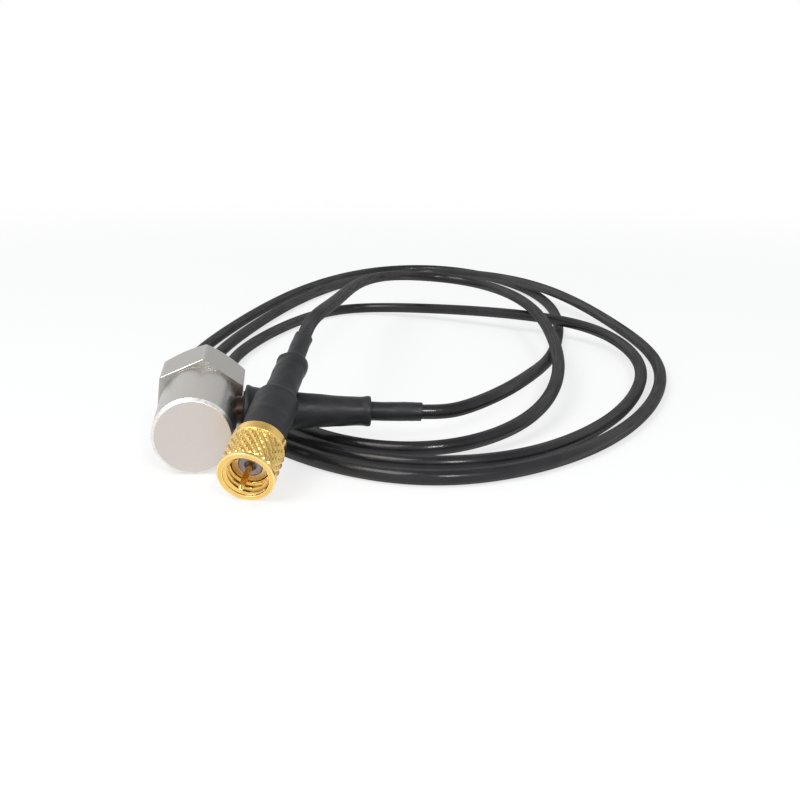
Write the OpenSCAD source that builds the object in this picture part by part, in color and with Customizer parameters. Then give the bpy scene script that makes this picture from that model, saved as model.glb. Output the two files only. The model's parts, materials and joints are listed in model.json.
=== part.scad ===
// Piezoelectric vibration sensor with a hexagonal base, a side cable and a coaxial screw plug.
// Millimetres. The sensor lies on its side on a table at Z = 0.
// Its cap faces -Y and its cable leaves towards +X.

/* [Base] */
// Width across the flats of the hexagonal base
hex_af = 10; // [9.5:0.1:11]
// Length of the hexagon along the axis
hex_len = 6.5; // [6:0.1:8]
// Chamfer that cuts the corners of the mounting face
hex_chamfer = 0.9; // [0.2:0.1:1.2]
// Turn of the hexagon about the axis, from the cable exit
hex_clock = -5; // [-10:1:10]
// Diameter of the mounting hole at the thread's crests
thread_d = 4.2; // [3.3:0.1:5]
// Depth of the mounting hole
thread_depth = 4.5; // [3:0.1:5]

/* [Case] */
// Outer diameter of the case
case_d = 9.4; // [8.8:0.1:9.6]
// Length of the case in front of the hexagon
case_len = 10.3; // [10:0.1:14]
// Wall of the case
case_wall = 0.7; // [0.4:0.1:0.8]
// Thickness of the closed end of the case
cap_t = 0.9; // [0.6:0.1:1.2]
// Chamfer round the closed end
rim_chamfer = 0.35; // [0.2:0.05:0.6]

/* [Sensing stack] */
// Diameter of the post that carries the stack
post_d = 2.4; // [2:0.1:2.8]
// Wall of the insulating sleeve on the post
insulator_wall = 0.3; // [0.2:0.05:0.4]
// Outer diameter of the piezo rings
piezo_d = 6; // [5:0.1:6.4]
// Thickness of one piezo ring
piezo_t = 1.2; // [1:0.1:1.3]
// Thickness of the signal electrode
electrode_t = 0.2; // [0.1:0.05:0.3]
// Diameter of the seismic mass
mass_d = 6.8; // [6:0.1:7.2]
// Length of the seismic mass
mass_len = 3.2; // [2.5:0.1:3.6]
// Diameter of the spring washer
spring_d = 4.8; // [4:0.1:5.6]
// Thickness of the spring washer
spring_t = 0.3; // [0.2:0.05:0.4]
// Width across the flats of the preload nut
preload_af = 4.4; // [4:0.1:5]
// Length of the preload nut
preload_len = 1.4; // [1:0.1:1.7]

/* [Cable exit] */
// Height of the exit axis over the front of the hexagon
exit_rise = 1.8; // [1.75:0.05:2.5]
// Roll of the resting sensor about its axis, which lets the exit droop
exit_roll = -2; // [-4:1:0]
// Outer diameter of the exit tube
stub_d = 3.4; // [3:0.1:3.5]
// Length of the exit tube outside the case
stub_len = 4.3; // [3:0.1:5]
// Length of the sealing bead in the exit tube
seal_len = 1; // [0.8:0.1:1.2]
// Thickness of the signal wire
lead_d = 0.3; // [0.2:0.05:0.4]
// Bare length of exit tube between the case and the boot
boot_gap = 1.1; // [1:0.1:1.8]
// Diameter of the shrunk boot over the exit tube
boot_root_d = 5; // [4.4:0.1:5.4]
// Diameter of the boot where it ends
boot_tip_d = 3.5; // [3.2:0.1:3.8]
// Length of the boot
boot_len = 14.5; // [12:0.1:16]
// Diameter of the inner sleeve on the cable
sleeve_d = 2.3; // [2.2:0.05:2.6]
// Length of inner sleeve that shows past the boot
sleeve_len = 5.9; // [4:0.1:6.5]
// Length of inner sleeve inside a boot
sleeve_tuck = 3; // [2:0.1:4]

/* [Cable] */
// Outer diameter of the cable
cable_d = 1.8; // [1.6:0.05:1.9]

/* [Plug] */
// Outer diameter of the coupling nut
nut_d = 6.4; // [6.2:0.1:7]
// Length of the coupling nut
nut_len = 6.3; // [5.6:0.1:7]
// Crest diameter of the nut's inner thread
nut_thread_d = 4.3; // [4.2:0.05:4.6]
// Diameter of the nut's mouth in front of the thread
nut_mouth_d = 5; // [4.8:0.1:5.4]
// Length of the nut's mouth
nut_mouth_len = 0.5; // [0.3:0.1:0.8]
// Plain rim in front of the knurl
nut_rim_len = 0.45; // [0.3:0.05:0.7]
// Plain band behind the knurl
nut_band_len = 1.6; // [0.9:0.1:1.8]
// Depth of the knurl
knurl_depth = 0.24; // [0.12:0.02:0.3]
// Number of ridges round the knurl
knurl_count = 24; // [20:1:32]
// Diameter of the plug body's flange inside the nut
flange_d = 4; // [3.8:0.05:4.05]
// Distance of the flange's front face behind the nut's mouth
flange_set = 2; // [1.6:0.1:2.4]
// Length of the flange
flange_len = 1.9; // [1.5:0.1:2.4]
// Diameter of the plug body's neck, on which the nut turns
neck_d = 3.4; // [3.2:0.05:3.5]
// Length of the neck behind the retaining ring
neck_rest = 1.2; // [0.8:0.1:1.6]
// Diameter of the plug body's crimping tail
tail_d = 2.7; // [2.5:0.05:2.9]
// Length of the crimping tail
tail_len = 3; // [2:0.1:4]
// Diameter of the plug's insulator
insulator_d = 2.6; // [2.4:0.05:2.8]
// Diameter of the contact pin
pin_d = 0.66; // [0.5:0.02:0.8]
// Length of pin in front of the nut's mouth
pin_reach = 2.1; // [1:0.1:2.6]
// Diameter of the retaining ring behind the nut
clip_d = 4.5; // [4.2:0.1:4.8]
// Thickness of the retaining ring
clip_t = 0.4; // [0.3:0.05:0.5]
// Diameter of the crimp ferrule
ferrule_d = 3.5; // [3.3:0.05:3.6]
// Length of ferrule on the cable behind the tail
ferrule_reach = 2.2; // [1.5:0.1:2.6]
// Diameter of the wide sleeve behind the nut
collar_d = 5.2; // [5:0.1:5.6]
// Length of the wide sleeve
collar_len = 7.7; // [7.5:0.1:9]
// Diameter of the plug's boot
plug_boot_d = 3.9; // [3.8:0.05:4]
// Length of the plug's boot past the wide sleeve
plug_boot_len = 9.1; // [8.5:0.1:12]
// Length of plug boot inside the wide sleeve
plug_boot_tuck = 4.6; // [4:0.1:5.2]
// Length of the small sleeve past the plug's boot
plug_sleeve_len = 4.6; // [4:0.1:5.9]

/* [Fits] */
// Radial clearance of pieces that are pressed, shrunk or bonded together
fit = 0.02; // [0.01:0.01:0.03]
// Radial clearance of the coupling nut on the neck
run_fit = 0.04; // [0.02:0.01:0.08]
// End play of the coupling nut on each side
end_play = 0.1; // [0.05:0.05:0.2]

/* [Hidden] */
$fn = 64;

// Sensor, along its own axis from the mounting face
case_r = case_d / 2;
hex_r = hex_af / sqrt(3);
sensor_len = hex_len + case_len;
case_bore = case_r - case_wall;
face_inset = 0.1;
face_r = hex_af / 2 - face_inset;
exit_z = hex_len + exit_rise;
seat_z = exit_z - electrode_t / 2 - piezo_t;
electrode_z = seat_z + piezo_t;
upper_z = electrode_z + electrode_t;
mass_z = upper_z + piezo_t;
spring_z = mass_z + mass_len;
preload_z = spring_z + spring_t;
thread_rest = 0.5;
post_top = preload_z + preload_len + thread_rest;
post_r = post_d / 2;
insulator_r = post_r + fit + insulator_wall;
ring_bore = insulator_r + fit;
countersink = 0.3;

// Rest on the table: the rim of the cap and the lowest corner of the hexagon touch it
corner_drop = hex_r * cos(exit_roll + hex_clock);
lie_tilt = atan((corner_drop - case_r) / (case_len - rim_chamfer));
body_z = case_r * cos(lie_tilt) + (sensor_len - rim_chamfer) * sin(lie_tilt);
front_y = -(case_r - rim_chamfer) * sin(lie_tilt) - sensor_len * cos(lie_tilt);
rear_y = face_r * sin(lie_tilt);
body_y = -(front_y + rear_y) / 2;

// Cable exit, along its own axis from the sensor's axis
stub_start = case_bore + fit;
stub_end = case_r + stub_len;
seal_end = stub_start + seal_len;
boot_start = case_r + boot_gap;
boot_end = boot_start + boot_len;
sleeve_start = boot_end - sleeve_tuck;
sleeve_end = boot_end + sleeve_len;
cable_r = cable_d / 2;
cable_bore = cable_r + fit;
sleeve_bore = sleeve_d / 2 + fit;

// Plug, along its own axis from the nut's mouth
flange_end = flange_set + flange_len;
neck_start = flange_end;
nut_wall = neck_start + end_play;
clip_start = nut_len + end_play;
clip_end = clip_start + clip_t;
collar_start = clip_start;
tail_start = clip_end + neck_rest;
tail_end = tail_start + tail_len;
ferrule_end = tail_end + ferrule_reach;
collar_end = collar_start + collar_len;
plug_boot_start = collar_end - plug_boot_tuck;
plug_boot_end = collar_end + plug_boot_len;
plug_sleeve_start = plug_boot_end - sleeve_tuck;
plug_sleeve_end = plug_boot_end + plug_sleeve_len;
band_start = nut_len - nut_band_len;
knurl_root_r = nut_d / 2 - knurl_depth;
groove_depth = 0.1;
groove_r = knurl_root_r - groove_depth;
rim_cut = 0.15;
knurl_helix = 35;

// Axis of the cable exit, by the distance from the sensor's axis
function exit_point(s) = [
  s * cos(exit_roll),
  body_y - s * sin(exit_roll) * sin(lie_tilt) - exit_z * cos(lie_tilt),
  body_z + s * sin(exit_roll) * cos(lie_tilt) - exit_z * sin(lie_tilt)
];

// Shrunk boots: radius along the smooth part between the rounded root and the lip
boot_edge = 0.25;
boot_lip = 0.1;
boot_lip_len = 0.7;
shrink_power = 1.5;
function shrunk_r(u, root_r, tip_r) = tip_r + (root_r - tip_r) * (1 - u) ^ shrink_power;
function boot_r(s) =
  let (from = boot_start + boot_edge, to = boot_end - boot_lip_len)
  shrunk_r((s - from) / (to - from), boot_root_d / 2, boot_tip_d / 2);

// Plug at rest: its nut leans on the table, its boot lies on the sensor's boot
plug_x = 6.3;
plug_y = -17.8;
plug_yaw = 14;
table_gap = 0.03;
rest_gap = 0.1;
rest_reach = exit_point(0)[1] - plug_y;
rest_s = plug_x + rest_reach * tan(plug_yaw);
rest_apart = boot_r(rest_s) + plug_boot_d / 2 + rest_gap;
function mouth_z(pitch) = nut_d / 2 * cos(pitch) - rim_cut * sin(pitch) + table_gap;
function lean(pitch) =
  let (
    rise = exit_point(rest_s)[2] - mouth_z(pitch),
    slope = atan(rise / rest_reach) + asin(rest_apart / norm([rest_reach, rise]))
  )
  atan(tan(slope) * cos(plug_yaw));
plug_pitch = lean(lean(lean(0)));
plug_mouth = [plug_x, plug_y, mouth_z(plug_pitch)];
plug_axis = [
  sin(plug_yaw) * cos(plug_pitch),
  cos(plug_yaw) * cos(plug_pitch),
  sin(plug_pitch)
];
function plug_point(t) = plug_mouth + t * plug_axis;

// Route of the cable: straight out of the exit, three loose turns on the table, straight into the plug
bend_lead = 1.1;
bend_reach = 5;
exit_stations = [seal_end, sleeve_start, sleeve_end + bend_lead, sleeve_end + bend_reach];
plug_stations = [plug_sleeve_end + bend_reach, plug_sleeve_end + bend_lead, plug_sleeve_start, tail_start];
loose_points = [
  [38.2, 5.6, 5.5], [44, 18.5, 4.4], [50, 35, 2.2], [56, 56, 1], [61, 80, 1], [60, 107, 1], [49, 131, 1],
  [33, 134.5, 1], [19, 121, 1], [8, 98, 1], [-0.8, 68, 1], [-6.8, 41, 1], [-4, 21.5, 1], [6, 4, 1],
  [15, -9.5, 1], [29, -16.5, 1], [46.5, -7, 1], [60.2, 12.6, 1], [69, 38, 1], [67.5, 62, 1.8],
  [62.5, 86, 3.5], [54.5, 111, 2.8], [39, 129, 1.2], [22.5, 118.5, 1], [10.6, 94.5, 1], [2, 65, 1],
  [-2.3, 45, 1], [-2.5, 27.5, 1], [5, 12, 1], [12, 0, 1], [22, -9.3, 1], [37.5, -9.5, 1], [51.6, 4.4, 1],
  [60.8, 22.3, 1], [65.2, 38, 1.6], [62.5, 53, 3.1], [54, 62.5, 3.5], [42, 73, 2.8], [29, 84, 1.4],
  [19, 85.5, 1], [11, 74.5, 1], [3.8, 57, 1], [0.6, 42, 1], [1, 27, 1], [8.5, 11.5, 1], [17, -2, 1],
  [30, -5.8, 1.2], [42, 3, 2.4], [49, 21, 4], [51.8, 43, 4.9], [52.3, 61, 5.6], [49.5, 76, 5.9],
  [43.5, 84.5, 6.4], [34, 86, 7.2], [26.5, 75, 9], [21, 54, 11.2], [17.5, 29, 13]
];
rings_per_span = 1.5;
cable_sides = 8;

// Cuts reach this far past the face that they open
overcut = 1;

// Half of the angle that a hexagon's side spans
half_side = 30;

route = concat(
  [for (s = exit_stations) exit_point(s)],
  loose_points,
  [for (t = plug_stations) plug_point(t)]
);
spans = len(route) - 1;
poles = concat([2 * route[0] - route[1]], route, [2 * route[spans] - route[spans - 1]]);

// Uniform cubic B-spline through the poles: place and direction at a station counted in spans
function unit(v) = v / norm(v);
function span_of(u) = min(floor(u), spans - 1);
function cable_place(u) =
  let (i = span_of(u), t = u - i)
  ((1 - t) ^ 3 * poles[i] + (3 * t ^ 3 - 6 * t ^ 2 + 4) * poles[i + 1]
    + (-3 * t ^ 3 + 3 * t ^ 2 + 3 * t + 1) * poles[i + 2] + t ^ 3 * poles[i + 3]) / 6;
function cable_heading(u) =
  let (i = span_of(u), t = u - i)
  unit(-(1 - t) ^ 2 * poles[i] + (3 * t ^ 2 - 4 * t) * poles[i + 1]
    + (-3 * t ^ 2 + 2 * t + 1) * poles[i + 2] + t ^ 2 * poles[i + 3]);
function cable_ring(u) =
  let (
    place = cable_place(u),
    heading = cable_heading(u),
    side = unit(cross(heading, [0, 0, 1])),
    up = cross(side, heading)
  )
  [for (k = [0 : cable_sides - 1])
    let (a = 360 * k / cable_sides) place + cable_r * (cos(a) * side + sin(a) * up)];

// Places of the sub-assemblies
module sensor_place() {
  translate([0, body_y, body_z])
    rotate([90 + lie_tilt, 0, 0])
      rotate([0, 0, exit_roll])
        children();
}

module exit_place() {
  sensor_place()
    translate([0, 0, exit_z])
      rotate([0, 90, 0])
        children();
}

module plug_place() {
  translate(plug_mouth)
    rotate([plug_pitch - 90, 0, -plug_yaw])
      children();
}

// Ring from one height to another
module ring(bore_r, outer_r, from, to) {
  translate([0, 0, from])
    difference() {
      cylinder(r = outer_r, h = to - from);
      rod(bore_r, -overcut, to - from + overcut);
    }
}

// Solid turned from a half profile
module turned(profile) {
  rotate_extrude() polygon(profile);
}

// Cylinder from one height to another
module rod(r, from, to) {
  translate([0, 0, from]) cylinder(r = r, h = to - from);
}

module hex_base() {
  thread_r = thread_d / 2;
  cone_flare = (hex_r - face_r) * hex_len / hex_chamfer;
  color("#b9b4ab")
    sensor_place()
      difference() {
        union() {
          intersection() {
            rotate([0, 0, half_side + hex_clock]) cylinder(r = hex_r, h = hex_len, $fn = 6);
            cylinder(r1 = face_r, r2 = face_r + cone_flare, h = hex_len);
          }
          rod(case_bore - fit, hex_len - overcut, seat_z);
          rod(post_r, seat_z - overcut, post_top);
        }
        rod(thread_r, -overcut, thread_depth);
        translate([0, 0, -countersink])
          cylinder(r1 = thread_r + 2 * countersink, r2 = thread_r - countersink, h = 3 * countersink);
      }
}

module case_shell() {
  color("#c4c0b8")
    sensor_place()
      difference() {
        union() {
          rod(case_r, hex_len, sensor_len - rim_chamfer);
          translate([0, 0, sensor_len - rim_chamfer])
            cylinder(r1 = case_r, r2 = case_r - rim_chamfer, h = rim_chamfer);
        }
        rod(case_bore, hex_len - overcut, sensor_len - cap_t);
        translate([0, 0, exit_z])
          rotate([0, 90, 0])
            cylinder(r = stub_d / 2 + fit, h = case_d);
      }
}

module insulating_sleeve() {
  color("#e6dfcf") sensor_place() ring(post_r + fit, insulator_r, seat_z, mass_z);
}

module lower_piezo_ring() {
  color("#d8cfae") sensor_place() ring(ring_bore, piezo_d / 2, seat_z, electrode_z);
}

module signal_electrode() {
  color("#c98a52") sensor_place() ring(ring_bore, piezo_d / 2, electrode_z, upper_z);
}

module upper_piezo_ring() {
  color("#d8cfae") sensor_place() ring(ring_bore, piezo_d / 2, upper_z, mass_z);
}

module seismic_mass() {
  color("#7d7f84") sensor_place() ring(post_r + fit, mass_d / 2, mass_z, spring_z);
}

module spring_washer() {
  color("#a7a9ac") sensor_place() ring(post_r + fit, spring_d / 2, spring_z, preload_z);
}

module preload_nut() {
  color("#9da0a3")
    sensor_place()
      translate([0, 0, preload_z])
        difference() {
          cylinder(d = preload_af / cos(half_side), h = preload_len, $fn = 6);
          rod(post_r + fit, -overcut, preload_len + overcut);
        }
}

module signal_lead() {
  color("#b87333") exit_place() rod(lead_d / 2, piezo_d / 2 + fit, seal_end);
}

module exit_tube() {
  color("#c4c0b8") exit_place() ring(cable_bore, stub_d / 2, stub_start, stub_end);
}

module exit_seal() {
  color("#5f7d78") exit_place() ring(lead_d / 2 + fit, cable_r, stub_start, seal_end);
}

// Shrunk tube that narrows along a smooth curve and ends in a small lip
module shrunk_boot(from, to, root_r, tip_r) {
  steps = 10;
  smooth_len = to - from - boot_edge - boot_lip_len;
  turned(concat(
    [[0, from], [root_r - boot_edge, from]],
    [for (k = [0 : steps])
      let (u = k / steps)
      [shrunk_r(u, root_r, tip_r), from + boot_edge + u * smooth_len]],
    [[tip_r + boot_lip, to - boot_lip_len / 2], [tip_r + boot_lip / 2, to], [0, to]]
  ));
}

module sensor_boot() {
  color("#2b2b2d")
    exit_place()
      difference() {
        shrunk_boot(boot_start, boot_end, boot_root_d / 2, boot_tip_d / 2);
        rod(stub_d / 2 + fit, boot_start - overcut, stub_end + fit);
        rod(cable_bore, boot_start, boot_end + overcut);
        rod(sleeve_bore, sleeve_start - fit, boot_end + overcut);
      }
}

module sensor_sleeve() {
  color("#303033") exit_place() ring(cable_bore, sleeve_d / 2, sleeve_start, sleeve_end);
}

// Tube swept along the route, one ring of corners at each station
module cable() {
  last = round(spans * rings_per_span);
  corners = [for (k = [0 : last]) each cable_ring(k / rings_per_span)];
  n = cable_sides;
  walls = [for (k = [0 : last - 1]) for (j = [0 : n - 1])
    let (a = k * n + j, b = k * n + (j + 1) % n) each [[a, b, a + n], [b, b + n, a + n]]];
  start = [[for (j = [n - 1 : -1 : 0]) j]];
  end = [[for (j = [0 : n - 1]) last * n + j]];
  color("#1d1d1f") polyhedron(points = corners, faces = concat(start, walls, end));
}

module plug_sleeve() {
  color("#303033") plug_place() ring(cable_bore, sleeve_d / 2, plug_sleeve_start, plug_sleeve_end);
}

module plug_boot() {
  color("#2b2b2d")
    plug_place()
      difference() {
        shrunk_boot(plug_boot_start, plug_boot_end, plug_boot_d / 2, plug_boot_d / 2 - boot_lip);
        rod(ferrule_d / 2 + fit, plug_boot_start - overcut, ferrule_end + fit);
        rod(cable_bore, plug_boot_start, plug_boot_end + overcut);
        rod(sleeve_bore, plug_sleeve_start - fit, plug_boot_end + overcut);
      }
}

// Wide sleeve shrunk over the back of the plug, with a rounded rear shoulder
module plug_collar() {
  r = collar_d / 2;
  round_r = 0.5;
  arc_step = 15;
  color("#2b2b2d")
    plug_place()
      difference() {
        turned(concat(
          [[0, collar_start], [r - rim_cut, collar_start], [r, collar_start + rim_cut]],
          [for (a = [0 : arc_step : 90])
            [r - round_r + round_r * cos(a), collar_end - round_r + round_r * sin(a)]],
          [[0, collar_end]]
        ));
        rod(clip_d / 2 + fit, collar_start - overcut, clip_end + fit);
        rod(neck_d / 2 + fit, collar_start, tail_start + fit);
        rod(ferrule_d / 2 + fit, tail_start, plug_boot_start);
        rod(plug_boot_d / 2 + fit, plug_boot_start - fit, collar_end + overcut);
      }
}

module crimp_ferrule() {
  color("#b08a45")
    plug_place()
      difference() {
        rod(ferrule_d / 2, tail_start, ferrule_end);
        rod(tail_d / 2 + fit, tail_start - overcut, tail_end + fit);
        rod(cable_bore, tail_start, ferrule_end + overcut);
      }
}

module retaining_ring() {
  color("#c9a14a") plug_place() ring(neck_d / 2 + fit, clip_d / 2, clip_start, clip_end);
}

module plug_body() {
  color("#d4a437")
    plug_place()
      difference() {
        union() {
          rod(flange_d / 2, flange_set, flange_end);
          rod(neck_d / 2, flange_set, tail_start);
          rod(tail_d / 2, flange_set, tail_end);
        }
        rod(insulator_d / 2 + fit, flange_set - overcut, tail_start);
        rod(cable_bore, flange_set, tail_end + overcut);
      }
}

// Insulator with a shallow well round the pin
module plug_insulator() {
  well_r = 0.68;
  well_depth = 0.6;
  color("#cfcac4")
    plug_place()
      difference() {
        rod(insulator_d / 2, flange_set, tail_start);
        rod(well_r, flange_set - overcut, flange_set + well_depth);
        rod(pin_d / 2 + fit, flange_set, tail_start + overcut);
      }
}

module contact_pin() {
  r = pin_d / 2;
  point_len = 0.5;
  color("#d9aa3c")
    plug_place()
      turned([
        [0, -pin_reach], [r / 2, -pin_reach], [r, point_len - pin_reach], [r, tail_start], [0, tail_start]
      ]);
}

// Diamond knurl: a tube of four-sided pyramids, peaks and pits by turns, sunk into the nut's groove
module knurl() {
  sink = 0.05;
  run_out = groove_depth;
  from = nut_rim_len + run_out;
  to = band_start - run_out;
  span = to - from - 2 * run_out;
  columns = 2 * knurl_count;
  diamond_half = PI * nut_d / columns / tan(knurl_helix);
  rows = max(1, round(span / diamond_half) - 1);
  buried_r = groove_r - sink;
  inner_r = buried_r - sink;
  function tooth_r(k, i) = (k + i) % 2 == 0 ? nut_d / 2 : knurl_root_r;
  function circle_ring(r, z) = [for (i = [0 : columns - 1]) [r, z]];
  function row_z(k) = from + run_out + span * k / (rows + 1);
  rings = concat(
    [circle_ring(inner_r, from), circle_ring(buried_r, from), circle_ring(knurl_root_r, row_z(0))],
    [for (k = [1 : rows]) [for (i = [0 : columns - 1]) [tooth_r(k, i), row_z(k)]]],
    [circle_ring(knurl_root_r, row_z(rows + 1)), circle_ring(buried_r, to), circle_ring(inner_r, to)]
  );
  count = len(rings);
  points = [for (ring = rings) for (i = [0 : columns - 1])
    let (a = 360 * i / columns) [ring[i][0] * cos(a), ring[i][0] * sin(a), ring[i][1]]];
  faces = [for (k = [0 : count - 1]) for (i = [0 : columns - 1])
    let (
      next_i = (i + 1) % columns,
      next_k = (k + 1) % count,
      a = k * columns + i,
      b = k * columns + next_i,
      c = next_k * columns + next_i,
      d = next_k * columns + i
    )
    each (k + i) % 2 == 0 ? [[a, d, b], [b, d, c]] : [[a, c, b], [a, d, c]]];
  polyhedron(points = points, faces = faces);
}

module coupling_nut() {
  rim_r = nut_d / 2;
  band_r = nut_d / 2 - knurl_depth / 2;
  rear_cut = 2 * rim_cut;
  color("#d4a437")
    plug_place()
      difference() {
        union() {
          turned([
            [0, 0], [rim_r - rim_cut, 0], [rim_r, rim_cut], [rim_r, nut_rim_len], [groove_r, nut_rim_len],
            [groove_r, band_start], [band_r, band_start], [band_r, nut_len - rear_cut],
            [band_r - rear_cut, nut_len], [0, nut_len]
          ]);
          knurl();
        }
        rod(nut_mouth_d / 2, -overcut, nut_mouth_len);
        rod(nut_thread_d / 2, -overcut, nut_wall);
        rod(neck_d / 2 + run_fit, -overcut, nut_len + overcut);
      }
}

hex_base();
case_shell();
insulating_sleeve();
lower_piezo_ring();
signal_electrode();
upper_piezo_ring();
seismic_mass();
spring_washer();
preload_nut();
signal_lead();
exit_tube();
exit_seal();
sensor_boot();
sensor_sleeve();
cable();
plug_sleeve();
plug_boot();
plug_collar();
crimp_ferrule();
retaining_ring();
plug_body();
plug_insulator();
contact_pin();
coupling_nut();
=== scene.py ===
"""Looks of a small vibration sensor with its looped cable and its gold-plated screw plug."""

import json
import math
from types import SimpleNamespace

import bpy
import numpy as np
from bpy.props import FloatProperty, FloatVectorProperty, IntProperty, PointerProperty
from mathutils import Matrix, Vector, noise

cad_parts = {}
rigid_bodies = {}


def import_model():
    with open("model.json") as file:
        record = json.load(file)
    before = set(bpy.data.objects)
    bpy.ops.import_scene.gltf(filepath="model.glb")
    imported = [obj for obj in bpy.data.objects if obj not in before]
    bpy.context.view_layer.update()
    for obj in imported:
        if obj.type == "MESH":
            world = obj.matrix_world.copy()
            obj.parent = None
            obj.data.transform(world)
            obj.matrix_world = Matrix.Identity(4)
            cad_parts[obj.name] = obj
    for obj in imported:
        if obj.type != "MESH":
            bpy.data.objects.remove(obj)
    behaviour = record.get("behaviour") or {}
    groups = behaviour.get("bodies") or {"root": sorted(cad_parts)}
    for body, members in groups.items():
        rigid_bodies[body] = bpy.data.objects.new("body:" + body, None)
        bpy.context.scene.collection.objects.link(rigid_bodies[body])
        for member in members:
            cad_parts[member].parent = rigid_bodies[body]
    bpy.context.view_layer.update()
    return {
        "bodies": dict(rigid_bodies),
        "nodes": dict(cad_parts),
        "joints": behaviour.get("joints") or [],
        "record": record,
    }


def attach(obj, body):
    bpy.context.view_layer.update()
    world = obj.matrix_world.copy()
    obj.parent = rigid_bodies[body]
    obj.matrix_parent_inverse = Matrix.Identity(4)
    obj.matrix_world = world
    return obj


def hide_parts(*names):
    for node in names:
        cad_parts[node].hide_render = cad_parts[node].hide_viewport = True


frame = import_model()

bl_info = {
    "name": "Vibration sensor",
    "version": (1, 0, 0),
    "blender": (4, 5, 0),
    "location": "View3D > Sidebar > Sensor",
    "description": "Finished pieces, materials and stage of a vibration sensor with cable and plug",
    "category": "Object",
}

MM = 0.001
SENSOR_BODY = "sensor"
NUT_BODY = "plug_nut"
MOUNTS = {mount["name"]: mount for mount in frame["record"]["mounts"]}
SPIN = frame["joints"][0]

# Heights from the mounting face and radii of the sensor, in millimetres
FACE_RADIUS = 4.9
SEAT_HEIGHT = 7.0
CASE_BORE = 4.0
POST_RADIUS, POST_TOP = 1.2, 14.8
THREAD_RADIUS, THREAD_DEPTH = 2.1, 4.5
COUNTERSINK = 0.3
EXIT_HEIGHT = 8.3
EXIT_ROLL = math.radians(-2)

# Stations along the cable exit, from the sensor's axis
STUB_START, STUB_END = 4.02, 9.0
SEAL_END = 5.02
ROOT_START, BOOT_TIP = 5.3, 20.6
SLEEVE_START, SLEEVE_TIP = 17.3, 26.8

# Stations along the plug, from the nut's mouth
FLANGE_START, FLANGE_END = 2.0, 3.9
NUT_WALL = 4.0
COLLAR_START, COLLAR_END = 6.4, 14.1
CLIP_END = 6.8
TAIL_START, TAIL_END = 8.0, 11.0
FERRULE_END = 13.2
PLUG_BOOT_START, PLUG_BOOT_TIP = 9.5, 21.8
PLUG_SLEEVE_START, PLUG_SLEEVE_TIP = 20.2, 27.8
PIN_POINT = -2.1

# Radii of inner steps that neighbouring pieces share, and the clearances between them
STUB_BORE, CLIP_BORE, NECK_BORE, FERRULE_BORE = 1.72, 2.27, 1.72, 1.77
TAIL_RADIUS, CABLE_BORE = 1.35, 0.92
FIT, RUNNING_FIT = 0.02, 0.04

# Fineness of the meshes: sides of the cable, steps of its line, of a knurl ridge and of a thread's turn
CABLE_SIDES = 20
ROUTE_STEPS = 12000
KNURL_STEPS = 12
NUT_THREAD_STEPS, STUD_THREAD_STEPS = 12, 16

# Stage: the camera, the floor, the lights as size, place and tint, and fades as two levels from start to end
FILM_WIDTH = 36
CLIP_RANGE = (0.005, 20)
EYE = Vector((13.23, -134.15, 43.5)) * MM
EYE_TILT, EYE_TURN = math.radians(74.5), math.radians(-4.65)
FLOOR_HALF = 4.0
PAPER_SCALE, PAPER_TONE = 900.0, 0.01
FLOOR_GLOW = (0.7, 1.0, 0.1, 0.32)
LIGHTS = {
    "key": (0.36, (-0.3, -0.22, 0.5), (1, 0.97, 0.93)),
    "fill": (0.11, (0.12, -0.48, 0.34), (1, 0.98, 0.96)),
}
LIGHT_AIM = Vector((0.015, 0.0, 0.0))
BACKDROP_TOP = (0.55, 0.95)
DARKER_SIDE = (1.0, 0.74, 0.0, 0.5)

# Route of the cable on the table between its two straight ends
LOOSE_POINTS = [
    (38.2, 5.6, 5.5), (44, 18.5, 4.4), (50, 35, 2.2), (56, 56, 1), (61, 80, 1), (60, 107, 1), (49, 131, 1),
    (33, 134.5, 1), (19, 121, 1), (8, 98, 1), (-0.8, 68, 1), (-6.8, 41, 1), (-4, 21.5, 1), (6, 4, 1),
    (15, -9.5, 1), (29, -16.5, 1), (46.5, -7, 1), (60.2, 12.6, 1), (69, 38, 1), (67.5, 62, 1.8),
    (62.5, 86, 3.5), (54.5, 111, 2.8), (39, 129, 1.2), (22.5, 118.5, 1), (10.6, 94.5, 1), (2, 65, 1),
    (-2.3, 45, 1), (-2.5, 27.5, 1), (5, 12, 1), (12, 0, 1), (22, -9.3, 1), (37.5, -9.5, 1), (51.6, 4.4, 1),
    (60.8, 22.3, 1), (65.2, 38, 1.6), (62.5, 53, 3.1), (54, 62.5, 3.5), (42, 73, 2.8), (29, 84, 1.4),
    (19, 85.5, 1), (11, 74.5, 1), (3.8, 57, 1), (0.6, 42, 1), (1, 27, 1), (8.5, 11.5, 1), (17, -2, 1),
    (30, -5.8, 1.2), (42, 3, 2.4), (49, 21, 4), (51.8, 43, 4.9), (52.3, 61, 5.6), (49.5, 76, 5.9),
    (43.5, 84.5, 6.4), (34, 86, 7.2), (26.5, 75, 9), (21, 54, 11.2), (17.5, 29, 13),
]
EXIT_STATIONS = (SEAL_END, SLEEVE_START, 27.3, 31.2)
PLUG_STATIONS = (32.8, 28.9, PLUG_SLEEVE_START, TAIL_START)


def length(name, description, millimetres):
    """Property for a length"""
    return FloatProperty(name=name, description=description, default=millimetres * MM, min=0, precision=5,
                         unit="LENGTH")


def share(name, description, value):
    """Property for a share of one"""
    return FloatProperty(name=name, description=description, default=value, min=0, max=1, subtype="FACTOR")


def colour(name, description, value):
    """Property for a colour"""
    return FloatVectorProperty(name=name, description=description, default=value, min=0, max=1, size=3,
                               subtype="COLOR")


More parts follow.
